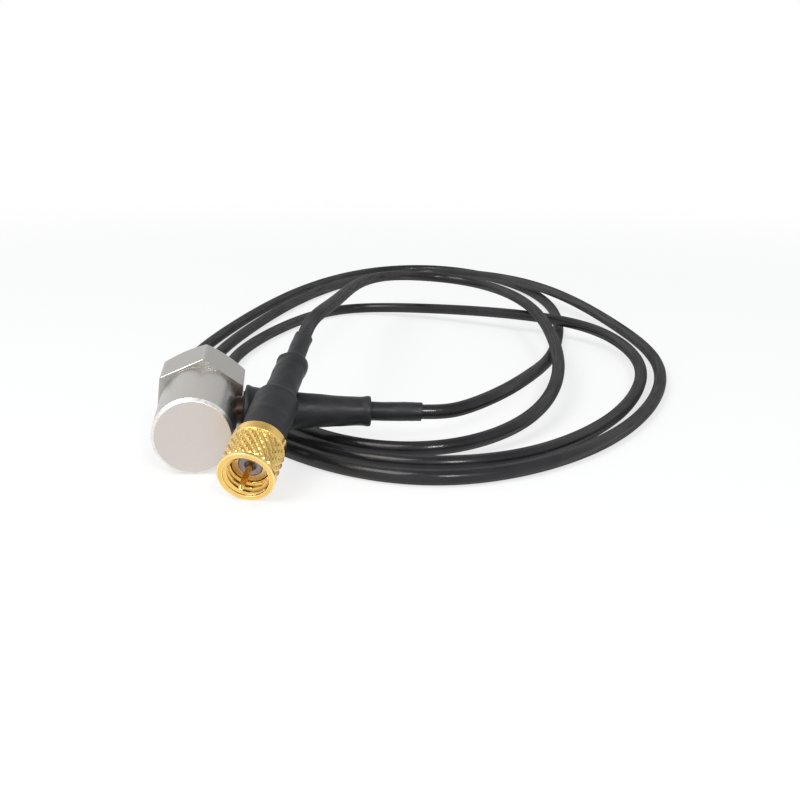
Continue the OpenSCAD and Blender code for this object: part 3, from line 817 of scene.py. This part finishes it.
class SENSOR_OT_stage(bpy.types.Operator):
    """Make the floor, the lights, the surroundings and the camera"""
    bl_idname = "sensor.stage"
    bl_label = "Stage"

    def execute(self, context):
        scene, values = context.scene, context.scene.sensor_stage
        kept = {*frame["nodes"].values(), *frame["bodies"].values()}
        for extra in [o for o in scene.objects if o not in kept]:
            bpy.data.objects.remove(extra)
        scene.view_settings.view_transform = "Standard"
        self.make_camera(scene, values)
        self.make_floor(values)
        self.make_lights(values)
        self.make_surroundings(scene, values)
        return {"FINISHED"}

    def make_camera(self, scene, values):
        camera = bpy.data.cameras.new("camera")
        camera.sensor_width = FILM_WIDTH
        camera.lens = values.lens
        camera.clip_start, camera.clip_end = CLIP_RANGE
        eye = linked("camera", camera)
        eye.location = EYE
        eye.rotation_euler = (EYE_TILT, 0, EYE_TURN)
        scene.camera = eye

    def seen(self, tree):
        """1 for rays that show the background: straight, mirrored or through glass"""
        path = put(tree, "ShaderNodeLightPath").outputs
        both = sum_of(tree, "MAXIMUM", path["Is Camera Ray"], path["Is Glossy Ray"])
        return sum_of(tree, "MAXIMUM", both, path["Is Transmission Ray"])

    def make_floor(self, values):
        """White paper that takes shadows and glows where it is seen, more so far away"""
        mesh = bpy.data.meshes.new("floor")
        corners = [(x * FLOOR_HALF, y * FLOOR_HALF, 0) for x, y in ((-1, -1), (1, -1), (1, 1), (-1, 1))]
        mesh.from_pydata(corners, [], [(0, 1, 2, 3)])
        floor = linked("floor", mesh)
        material = bpy.data.materials.new("floor")
        material.use_nodes = True
        tree = material.node_tree
        tree.nodes.remove(tree.nodes["Principled BSDF"])
        at = put(tree, "ShaderNodeTexCoord").outputs["Object"]
        tone = values.floor[0]
        paper = span(tree, cloud(tree, at, PAPER_SCALE, 2.0), tone - PAPER_TONE, tone + PAPER_TONE)
        matt = put(tree, "ShaderNodeBsdfDiffuse", {"Color": paper}).outputs[0]
        glow = put(tree, "ShaderNodeEmission", {"Color": (1, 1, 1, 1), "Strength": 1.0}).outputs[0]
        away = put(tree, "ShaderNodeVectorMath", {0: at}, operation="LENGTH").outputs["Value"]
        shown = sum_of(tree, "MULTIPLY", self.seen(tree), span(tree, away, *FLOOR_GLOW, smooth=True))
        mix = put(tree, "ShaderNodeMixShader", {0: shown, 1: matt, 2: glow})
        tree.links.new(mix.outputs[0], tree.nodes["Material Output"].inputs["Surface"])
        mesh.materials.append(material)

    def make_lights(self, values):
        for name, power in (("key", values.key_power), ("fill", values.fill_power)):
            size, place, tint = LIGHTS[name]
            lamp = bpy.data.lights.new(name, "AREA")
            lamp.energy, lamp.size, lamp.color = power, size, tint
            holder = linked(name, lamp)
            holder.location = place
            holder.rotation_euler = (LIGHT_AIM - Vector(place)).to_track_quat("-Z", "Y").to_euler()

    def make_surroundings(self, scene, values):
        """Dim ceiling for the light, white backdrop where it is seen, darker to the right in mirrors"""
        world = scene.world or bpy.data.worlds.new("surroundings")
        scene.world = world
        world.use_nodes = True
        tree = world.node_tree
        direction = xyz(tree, put(tree, "ShaderNodeTexCoord").outputs["Generated"])
        backdrop = span(tree, direction["Z"], 1 - values.ceiling, 0.0, *BACKDROP_TOP, smooth=True)
        darker = span(tree, direction["X"], *DARKER_SIDE, smooth=True)
        side = span(tree, put(tree, "ShaderNodeLightPath").outputs["Is Glossy Ray"], 1.0, darker)
        shown = self.seen(tree)
        tint = put(tree, "ShaderNodeMix", {
            "Factor": shown, MIX_LOW: (*values.ceiling_tint, 1), MIX_HIGH: (1, 1, 1, 1),
        }, data_type="RGBA")
        ground = tree.nodes["Background"].inputs
        tree.links.new(tint.outputs[MIX_RESULT], ground["Color"])
        level = sum_of(tree, "MULTIPLY_ADD", shown, backdrop, values.ceiling)
        tree.links.new(sum_of(tree, "MULTIPLY", level, side), ground["Strength"])


class SENSOR_OT_cable(bpy.types.Operator):
    """Sweep the cable's jacket along its route"""
    bl_idname = "sensor.cable"
    bl_label = "Cable"

    def execute(self, context):
        sizes = in_mm(context.scene.sensor_lead)
        line = cable_line(sizes.ring_spacing)
        wire = bpy.data.meshes.new("cable_route")
        wire.from_pydata(line.tolist(), [(k, k + 1) for k in range(len(line) - 1)], [])
        material = cable_jacket(context.scene.sensor_finishes)
        mesh = grown(wire, "cable", jacket_tree(), {
            "Radius": sizes.cable_diameter / 2, "Sides": CABLE_SIDES, "Material": material,
        })
        if not mesh.polygons:
            raise RuntimeError("the cable's route made no jacket")
        self.lay_out(mesh)
        finished(mesh, Matrix.Identity(4), material, SENSOR_BODY, "cable", sharp=50)
        return {"FINISHED"}

    def lay_out(self, mesh):
        """UV map: once round the jacket, and metres along it"""
        values = {}
        for key in ("around", "along"):
            values[key] = np.zeros(len(mesh.vertices), np.float32)
            mesh.attributes[key].data.foreach_get("value", values[key])
        corners = np.zeros(len(mesh.loops), np.int32)
        mesh.loops.foreach_get("vertex_index", corners)
        starts = np.zeros(len(mesh.polygons), np.int32)
        mesh.polygons.foreach_get("loop_start", starts)
        around, along = values["around"][corners], values["along"][corners] * MM
        for start, end in zip(starts, [*starts[1:], len(corners)]):
            part = around[start:end]
            if part.max() - part.min() > 0.5:
                part[part < 0.5] += 1
        layer = mesh.uv_layers.new(name="jacket")
        layer.data.foreach_set("uv", np.stack([around, along], axis=1).astype(np.float32).ravel())


class SENSOR_OT_body(bpy.types.Operator):
    """Make the sensor's hexagonal base, its case and its exit tube"""
    bl_idname = "sensor.body"
    bl_label = "Sensor body"

    def execute(self, context):
        sizes = in_mm(context.scene.sensor_sizes)
        finishes = context.scene.sensor_finishes
        place, leaving = sensor_place(), exit_place()
        # The base is a darker copy of the case's steel: the darkening is painted shade on the hexagon's
        # flats. Its edges also get a smaller painted edge highlight than the case's.
        darker = shade(finishes.steel, 0.84)
        base_steel = turned_steel("base_steel", place, darker, finishes, lines=9.0, worn=1.25)
        self.make_base(sizes, base_steel, place)
        case_steel = turned_steel("case_steel", place, finishes.steel, finishes, face=sizes.sensor_length)
        self.make_case(sizes, case_steel, place)
        # The exit tube's dark colour is painted shade, for the shadow between the case and the boot.
        tube_steel = turned_steel("exit_tube_steel", leaving, finishes.tube_steel, finishes, lines=10.0)
        r = sizes.stub_diameter / 2
        rows = eased([
            (CABLE_BORE, STUB_START), (r, STUB_START, 0.08), (r, STUB_END, 0.15), (CABLE_BORE, STUB_END, 0.1),
        ])
        turned_piece("exit_tube", rows, leaving, tube_steel, sides=64)
        return {"FINISHED"}

    # The corners' marks feed the edge lightening, which is partly wear and partly a painted highlight.
    def hexagon(self, sizes, flat_steps=26, arc_steps=4, corner_wear=0.45):
        """Outline of the hexagon with rounded corners, as points from the axis, and marks of the corners"""
        apothem, rounding = sizes.hexagon_width / 2, sizes.corner_radius
        inner = (apothem - rounding) / math.cos(math.radians(30))
        outline, corners = [], []
        for corner in range(6):
            middle = math.radians(60 * corner) + math.radians(30) + sizes.hexagon_turn
            centre = Vector((math.cos(middle), math.sin(middle))) * inner
            arc = []
            for k in range(arc_steps + 1):
                a = middle + math.radians(-30 + 60 * k / arc_steps)
                arc.append(centre + rounding * Vector((math.cos(a), math.sin(a))))
            following = Matrix.Rotation(math.radians(60), 2) @ arc[0]
            outline += arc + [arc[-1].lerp(following, k / flat_steps) for k in range(1, flat_steps)]
            corners += [corner_wear] * len(arc) + [0.0] * (flat_steps - 1)
        return outline, corners

    def make_base(self, sizes, material, place):
        outline, corners = self.hexagon(sizes)
        front, edge = sizes.hexagon_length, sizes.front_edge
        slope = (sizes.hexagon_width / math.sqrt(3) - FACE_RADIUS) / sizes.hexagon_chamfer
        run_in, margin, neck, mouth = 0.8, 0.15, CASE_BORE - FIT, THREAD_RADIUS + COUNTERSINK

        def ring(radius, height):
            return [Vector((*(p.normalized() * radius), height)) for p in outline]

        def flank(height, inset=0.0):
            return [Vector((*(p * (1 - inset / p.length)), height)) for p in outline]

        def chamfered(past):
            return [Vector((*p, (p.length - FACE_RADIUS) / slope + past)) for p in outline]

        drilled = stepped((THREAD_RADIUS, THREAD_DEPTH), (THREAD_RADIUS, COUNTERSINK),
                          sizes.stud_pitch / STUD_THREAD_STEPS)
        # Rings of points from the hole's bottom round to the post's top, with their thread and their wear
        layers = [
            ([Vector((0, 0, THREAD_DEPTH))], 0, 0),
            *[(ring(r[0], r[1]), min(1, (THREAD_DEPTH - r[1]) / run_in), 0) for r in drilled],
            (ring(mouth, 0), 0, 1), (ring(mouth + margin, 0), 0, 0),
            (ring(FACE_RADIUS - margin, 0), 0, 0), (ring(FACE_RADIUS, 0), 0, 1), (chamfered(0), 0, 0.8),
            (chamfered(0.2), 0, corners), (flank(front / 2), 0, corners),
            (flank(front - edge * 2), 0, corners), (flank(front - edge), 0, 1), (flank(front, edge), 0, 1),
            (ring(neck, front), 0, 0), (ring(neck, SEAT_HEIGHT), 0, 0),
            (ring(POST_RADIUS, SEAT_HEIGHT), 0, 0), (ring(POST_RADIUS, POST_TOP), 0, 0),
            ([Vector((0, 0, POST_TOP))], 0, 0),
        ]
        points, rings, threads, edges = [], [], [], []
        for layer, thread, worn in layers:
            start = len(points)
            points += [tuple(p) for p in layer]
            threads += [thread] * len(layer)
            edges += worn if worn is corners else [worn] * len(layer)
            rings.append(list(range(start, len(points))) if len(layer) > 1 else [start] * len(outline))
        blank = solid_mesh("hex_base", np.array(points), faces_between(rings), {
            "thread": np.array(threads), "knurl": np.zeros(len(points)), "edge": np.array(edges),
        })
        threaded = grown(blank, "hex_base", cutting_tree(), {
            "Knurl depth": 0.0, "Thread pitch": sizes.stud_pitch, "Thread depth": sizes.stud_groove,
            "Material": material,
        })
        finished(threaded, place, material, SENSOR_BODY, "hex_base", sharp=25)

    def make_case(self, sizes, material, place):
        r, top, foot = sizes.case_diameter / 2, sizes.sensor_length, sizes.hexagon_length
        rim, ceiling, hole = sizes.rim_chamfer, top - sizes.cap_thickness, sizes.stub_diameter / 2 + FIT
        rows = eased([
            (0, top), (r - rim, top, 0.05), (r, top - rim, 0.06), (r, foot, 0.06), (CASE_BORE, foot, 0.04),
            (CASE_BORE, ceiling, 0.2), (0, ceiling),
        ])
        rows = [row(*s[:2], edge=1) if r - rim < s[0] < r and s[1] > top - rim else s for s in rows]
        case = turned_mesh("case_shell", rows, sides=160)
        start, end = 2, 7
        drill = turned_mesh("exit_hole", [
            row(0, start), row(hole, start), row(hole, end), row(0, end),
        ], sides=64)
        drill.transform(place.inverted() @ exit_place())
        cut = cut_from(case, drill, "case_shell")
        finished(cut, place, material, SENSOR_BODY, "case_shell")


def shrink_rows(start, end, radius_at, bore, step=0.22, edge=0.12):
    """Profile of a shrunk tube: its outside, its rounded ends and its stepped bore"""
    count = round((end - start - 2 * edge) / step)
    heights = [start + edge + (end - start - 2 * edge) * k / count for k in range(count + 1)]
    turns = [math.radians(a) for a in (0, 25, 50, 75)]
    first, last = radius_at(edge / (end - start)), radius_at(1 - edge / (end - start))
    lip = [row(first - edge * (1 - math.sin(a)), start + edge * (1 - math.cos(a)), 1) for a in turns]
    tail = [row(last - edge * (1 - math.sin(a)), end - edge * (1 - math.cos(a)), 1) for a in turns[::-1]]
    outside = [row(radius_at((z - start) / (end - start)), z) for z in heights]
    return [*[row(r, z) for r, z in bore[::-1]], *lip, *outside, *tail]


def uneven(amount, seed, bore_radius, end, form=None, end_reach=1.2):
    """Shape function of a shrunk tube: soft lumps outside, and an end that isn't cut quite square"""
    def shape(r, angle):
        radius, height = r[0], r[1]
        if radius <= bore_radius:
            return radius, height

        def lumps(waves, level):
            """Soft noise with so many waves round the tube"""
            return noise.noise(Vector((math.cos(angle) * waves, math.sin(angle) * waves, level)))

        swell, shift = form(angle, height) if form else (0, 0)
        near = max(0, 1 - abs(height - end) / end_reach)
        swell += amount * (lumps(1.3, height * 0.5 + seed) + 0.4 * lumps(2.6, height * 1.3 + seed + 31))
        swell += near * amount * 1.3 * lumps(2.2, seed + end)
        shift += near ** 3 * amount * 3 * lumps(1.6, seed - end)
        return radius + swell, height + shift
    return shape


def sensor_boot_form(angle, height):
    """Root of the sensor's boot: a low lip, cut on the slant, further from the case at the top"""
    past = height - ROOT_START
    return 0.14 * math.exp(-((past - 0.4) / 0.4) ** 2), 0.3 * math.sin(angle) * max(0, 1 - past / 1.5)


def plug_boot_form(angle, height):
    """End of the plug's boot: bulged on one side, sloping on the other"""
    left = PLUG_BOOT_TIP - height
    near = max(0, 1 - left / 1.5)
    return 0.16 * math.cos(angle) * math.exp(-((left - 0.9) / 0.6) ** 2), 0.25 * math.cos(angle) * near


class SENSOR_OT_shrunk_tubes(bpy.types.Operator):
    """Make the boots, the sleeves and the collar that are shrunk on the cable and the plug"""
    bl_idname = "sensor.shrunk_tubes"
    bl_label = "Shrunk tubes"

    def execute(self, context):
        sizes = in_mm(context.scene.sensor_lead)
        finishes = context.scene.sensor_finishes
        leaving, plug = exit_place(), plug_place()
        cable_bore = sizes.cable_diameter / 2 + FIT
        sleeve_bore = sizes.sleeve_diameter / 2 + FIT
        plug_boot = sizes.plug_boot_diameter / 2
        boot_black = shrunk_tube("boot_tube", leaving, finishes)
        plug_black = shrunk_tube("plug_tube", plug, finishes, tone=1.1)

        def boot_radius(root, tip, lip=0.1, lip_share=0.05, power=1.5):
            def radius(u):
                smooth = tip + (root - tip) * max(0.0, 1 - u / (1 - lip_share)) ** power
                return smooth + lip * math.exp(-((u - 1 + lip_share / 2) / (lip_share / 2)) ** 2)
            return radius

        def boot_bore(first_bore, start, first_end, sleeve_start, end):
            """Bore of a boot: over its root, over the bare cable, over the sleeve"""
            return [(first_bore, start), (first_bore, first_end + FIT), (cable_bore, first_end + FIT),
                    (cable_bore, sleeve_start - FIT), (sleeve_bore, sleeve_start - FIT), (sleeve_bore, end)]

        def tube(node, place, material, start, end, radius, bore, seed, sides, edge, form=None):
            rows = shrink_rows(start, end, radius, bore, edge=edge)
            shape = uneven(sizes.lump, seed, max(r for r, z in bore) + 0.01, end, form)
            mesh = turned_mesh(node, rows, sides, shape)
            finished(mesh, place, material, SENSOR_BODY, node, sharp=60)

        tube("sensor_boot", leaving, boot_black, ROOT_START, BOOT_TIP,
             boot_radius(sizes.boot_root / 2, sizes.boot_tip / 2),
             boot_bore(STUB_BORE, ROOT_START, STUB_END, SLEEVE_START, BOOT_TIP),
             seed=3.1, sides=96, edge=0.2, form=sensor_boot_form)
        tube("plug_boot", plug, plug_black, PLUG_BOOT_START, PLUG_BOOT_TIP,
             boot_radius(plug_boot, plug_boot - 0.1),
             boot_bore(FERRULE_BORE, PLUG_BOOT_START, FERRULE_END, PLUG_SLEEVE_START, PLUG_BOOT_TIP),
             seed=7.7, sides=96, edge=0.12, form=plug_boot_form)
        for node, place, material, start, end, seed in (
            ("sensor_sleeve", leaving, boot_black, SLEEVE_START, SLEEVE_TIP, 12.3),
            ("plug_sleeve", plug, plug_black, PLUG_SLEEVE_START, PLUG_SLEEVE_TIP, 17.9),
        ):
            tube(node, place, material, start, end, lambda u: sizes.sleeve_diameter / 2,
                 [(cable_bore, start), (cable_bore, end)], seed, sides=48, edge=0.08)
        self.make_collar(sizes, plug_black, plug)
        return {"FINISHED"}

    def make_collar(self, sizes, material, place):
        r, shoulder, boot_bore = sizes.collar_diameter / 2, 0.5, sizes.plug_boot_diameter / 2 + FIT
        bore = [(CLIP_BORE, COLLAR_START), (CLIP_BORE, CLIP_END + FIT), (NECK_BORE, CLIP_END + FIT),
                (NECK_BORE, TAIL_START + FIT), (FERRULE_BORE, TAIL_START + FIT),
                (FERRULE_BORE, PLUG_BOOT_START - FIT), (boot_bore, PLUG_BOOT_START - FIT),
                (boot_bore, COLLAR_END - 0.05)]
        ridge, ridge_height, ridge_width = COLLAR_START + 3.2, 0.035, 0.45
        side = [row(s[0] + ridge_height * math.exp(-((s[1] - ridge) / ridge_width) ** 2), s[1])
                for s in stepped((r, COLLAR_START + 0.3), (r, COLLAR_END - shoulder), 0.15)]
        arc = [row(r - shoulder + shoulder * math.cos(math.radians(a)), COLLAR_END - shoulder
                   + shoulder * math.sin(math.radians(a)), 0.4) for a in range(10, 81, 10)]
        rows = [*[row(*b) for b in bore[::-1]], row(r - 0.2, COLLAR_START, 0.6),
                row(r - 0.05, COLLAR_START + 0.08, 1), *side, *arc, row(r - shoulder - 0.05, COLLAR_END, 0.5)]
        shape = uneven(sizes.lump, 22.4, CLIP_BORE + 0.01, COLLAR_END)
        mesh = turned_mesh("plug_collar", rows, sides=96, shape=shape)
        finished(mesh, place, material, SENSOR_BODY, "plug_collar", sharp=60)


class SENSOR_OT_plug(bpy.types.Operator):
    """Make the plug's body, its insulating bead and its contact pin"""
    bl_idname = "sensor.plug"
    bl_label = "Plug"

    def execute(self, context):
        sizes = in_mm(context.scene.sensor_plug)
        finishes = context.scene.sensor_finishes
        place = plug_place()
        # The body's paler gold is painted light, against the shade inside the nut.
        plate = gold_plate("body_gold", place, finishes.pale_gold, 2 * finishes.gold_roughness)
        flange, neck, bead = sizes.flange_diameter / 2, sizes.neck_diameter / 2, sizes.insulator_diameter / 2
        rows = eased([
            (bead + FIT, FLANGE_START + 0.2), (bead + 0.09, FLANGE_START, 0.03), (flange, FLANGE_START, 0.05),
            (flange, FLANGE_END, 0.08), (neck, FLANGE_END), (neck, TAIL_START, 0.1),
            (TAIL_RADIUS, TAIL_START), (TAIL_RADIUS, TAIL_END, 0.1), (CABLE_BORE, TAIL_END),
            (CABLE_BORE, TAIL_START), (bead + FIT, TAIL_START),
        ])
        turned_piece("plug_body", rows, place, plate, sides=96)
        r, well, well_end, point = sizes.pin_diameter / 2, 0.68, FLANGE_START + 0.6, 0.5
        bead_grey = plain_finish("insulating_bead", finishes.bead, 0.35, place=place, grains=6.0)
        rows = eased([
            (r + FIT, well_end), (well, well_end, 0.08), (well, FLANGE_START, 0.06),
            (bead, FLANGE_START, 0.06), (bead, TAIL_START), (r + FIT, TAIL_START),
        ])
        turned_piece("plug_insulator", rows, place, bead_grey, sides=72)
        pin_gold = gold_plate("pin_gold", place, finishes.gold, finishes.gold_roughness, tarnish=0.6)
        rows = eased([
            (0, PIN_POINT), (r * 0.45, PIN_POINT, 0.1), (r, PIN_POINT + point, 0.2), (r, TAIL_START, 0.05),
            (0, TAIL_START),
        ])
        turned_piece("contact_pin", rows, place, pin_gold, sides=40)
        return {"FINISHED"}


class SENSOR_OT_coupling_nut(bpy.types.Operator):
    """Turn the coupling nut's blank and cut its diamond knurl and its thread"""
    bl_idname = "sensor.coupling_nut"
    bl_label = "Coupling nut"

    def execute(self, context):
        sizes = in_mm(context.scene.sensor_plug)
        finishes = context.scene.sensor_finishes
        place = plug_place()
        material = gold_plate("nut_gold", place, finishes.gold, finishes.gold_roughness)
        turn_per_mm = math.tan(sizes.knurl_helix) / (math.pi * sizes.nut_diameter)
        blank = turned_mesh("coupling_nut", self.profile(sizes, turn_per_mm), sizes.knurl_count * KNURL_STEPS)
        cut = grown(blank, "coupling_nut", cutting_tree(), {
            "Knurl depth": sizes.knurl_depth, "Knurl count": float(sizes.knurl_count),
            "Knurl turn": turn_per_mm, "Cross share": sizes.knurl_cross, "Thread pitch": sizes.thread_pitch,
            "Thread depth": sizes.thread_groove, "Material": material,
        })
        finished(cut, place, material, NUT_BODY, "coupling_nut", sharp=24)
        return {"FINISHED"}

    def profile(self, sizes, turn_per_mm):
        """Rows of the blank: rim, band for the knurl, plain band, bore for the neck, bore for the thread"""
        r, crest, mouth = sizes.nut_diameter / 2, sizes.crest_diameter / 2, sizes.mouth_diameter / 2
        neck, end = sizes.neck_diameter / 2 + RUNNING_FIT, sizes.nut_length
        mouth_depth, rim_end, band_start, band = 0.2, 0.45, 4.7, r - 0.1
        front = eased([(mouth - 0.2, 0.4), (mouth, mouth_depth, 0.05), (mouth, 0, 0.1), (r, 0, 0.16),
                       (r, rim_end - 0.06, 0.05), (r - 0.15, rim_end)])[1:-1]
        fade, knurled = 0.16, []
        step = 1 / (sizes.knurl_count * turn_per_mm * KNURL_STEPS)
        for z in np.arange(rim_end, band_start + step / 2, step):
            inside = min(1, (z - rim_end) / fade, (band_start - z) / fade)
            fall = (1 - max(0, inside)) * sizes.knurl_depth
            knurled.append(row(r - fall * 0.8, z, knurl=max(0.0, min(1, 0.25 + inside))))
        rear = eased([(band - 0.15, band_start), (band, band_start + 0.08, 0.05), (band, end - 0.35, 0.04),
                      (band - 0.35, end, 0.05), (neck, end, 0.05), (neck, NUT_WALL, 0.03),
                      (crest + 0.225, NUT_WALL)])[1:-1]
        run_out, thread_end = 0.2, FLANGE_START - 0.1
        bore = [row(crest, NUT_WALL - 0.02), row(crest, thread_end + run_out)]
        for z in np.arange(thread_end, mouth_depth + 0.12, -sizes.thread_pitch / NUT_THREAD_STEPS):
            bore.append(row(crest, float(z), thread=min(1, (thread_end - z) / run_out)))
        return [*front, *knurled, *rear, *bore]


class SENSOR_OT_inner_pieces(bpy.types.Operator):
    """Give the kept inner pieces their materials"""
    bl_idname = "sensor.inner_pieces"
    bl_label = "Inner pieces"

    def execute(self, context):
        finishes = context.scene.sensor_finishes
        plastic = plain_finish("insulating_plastic", (0.78, 0.74, 0.64), 0.45)
        ceramic = plain_finish("piezo_ceramic", (0.68, 0.62, 0.46), 0.6)
        copper = plain_finish("copper", (0.72, 0.42, 0.22), 0.3, metallic=1.0, depth_mm=0.002)
        alloy = plain_finish("heavy_alloy", (0.22, 0.22, 0.23), 0.35, metallic=1.0, depth_mm=0.002)
        compound = plain_finish("seal_compound", (0.12, 0.2, 0.18), 0.5)
        ground_steel = turned_steel("inner_steel", sensor_place(), finishes.steel, finishes)
        inner_gold = gold_plate("inner_gold", plug_place(), finishes.gold, finishes.gold_roughness)
        for material, *nodes in (
            (plastic, "insulating_sleeve"), (ceramic, "lower_piezo_ring", "upper_piezo_ring"),
            (copper, "signal_electrode", "signal_lead"), (alloy, "seismic_mass"),
            (ground_steel, "spring_washer", "preload_nut"), (compound, "exit_seal"),
            (inner_gold, "crimp_ferrule", "retaining_ring"),
        ):
            for node in nodes:
                for holder in frame["nodes"][node].material_slots:
                    holder.material = material
        return {"FINISHED"}


class SENSOR_OT_lead(bpy.types.Operator):
    bl_idname = "sensor.lead"
    bl_label = "Lead"

    def execute(self, context):
        sizes = in_mm(context.scene.sensor_lead)
        line = cable_line(sizes.ring_spacing) * MM
        return {"FINISHED"}


MAKERS = (SENSOR_OT_stage, SENSOR_OT_cable, SENSOR_OT_body, SENSOR_OT_shrunk_tubes, SENSOR_OT_plug,
          SENSOR_OT_coupling_nut, SENSOR_OT_inner_pieces, SENSOR_OT_lead)
SETTINGS = {
    "sensor_sizes": SensorSizes, "sensor_lead": LeadSizes, "sensor_plug": PlugSizes,
    "sensor_finishes": Finishes, "sensor_stage": StageSettings,
}


class SENSOR_PT_panel(bpy.types.Panel):
    """Sizes, finishes and makers of the sensor"""
    bl_idname = "SENSOR_PT_panel"
    bl_label = "Vibration sensor"
    bl_space_type = "VIEW_3D"
    bl_region_type = "UI"
    bl_category = "Sensor"

    def draw(self, context):
        for name, group in SETTINGS.items():
            box = self.layout.box()
            box.label(text=group.__doc__)
            for key in group.__annotations__:
                box.prop(getattr(context.scene, name), key)
        for maker in MAKERS:
            self.layout.operator(maker.bl_idname)


CLASSES = (*SETTINGS.values(), *MAKERS, SENSOR_PT_panel)


def register():
    for cls in CLASSES:
        bpy.utils.register_class(cls)
    for name, group in SETTINGS.items():
        setattr(bpy.types.Scene, name, PointerProperty(type=group))


def unregister():
    for name in SETTINGS:
        delattr(bpy.types.Scene, name)
    for cls in reversed(CLASSES):
        bpy.utils.unregister_class(cls)


def main():
    register()
    bpy.ops.sensor.stage()
    bpy.ops.sensor.cable()
    bpy.ops.sensor.body()
    bpy.ops.sensor.shrunk_tubes()
    bpy.ops.sensor.plug()
    bpy.ops.sensor.coupling_nut()
    bpy.ops.sensor.inner_pieces()
    bpy.ops.sensor.lead()


if __name__ == "__main__":
    main()
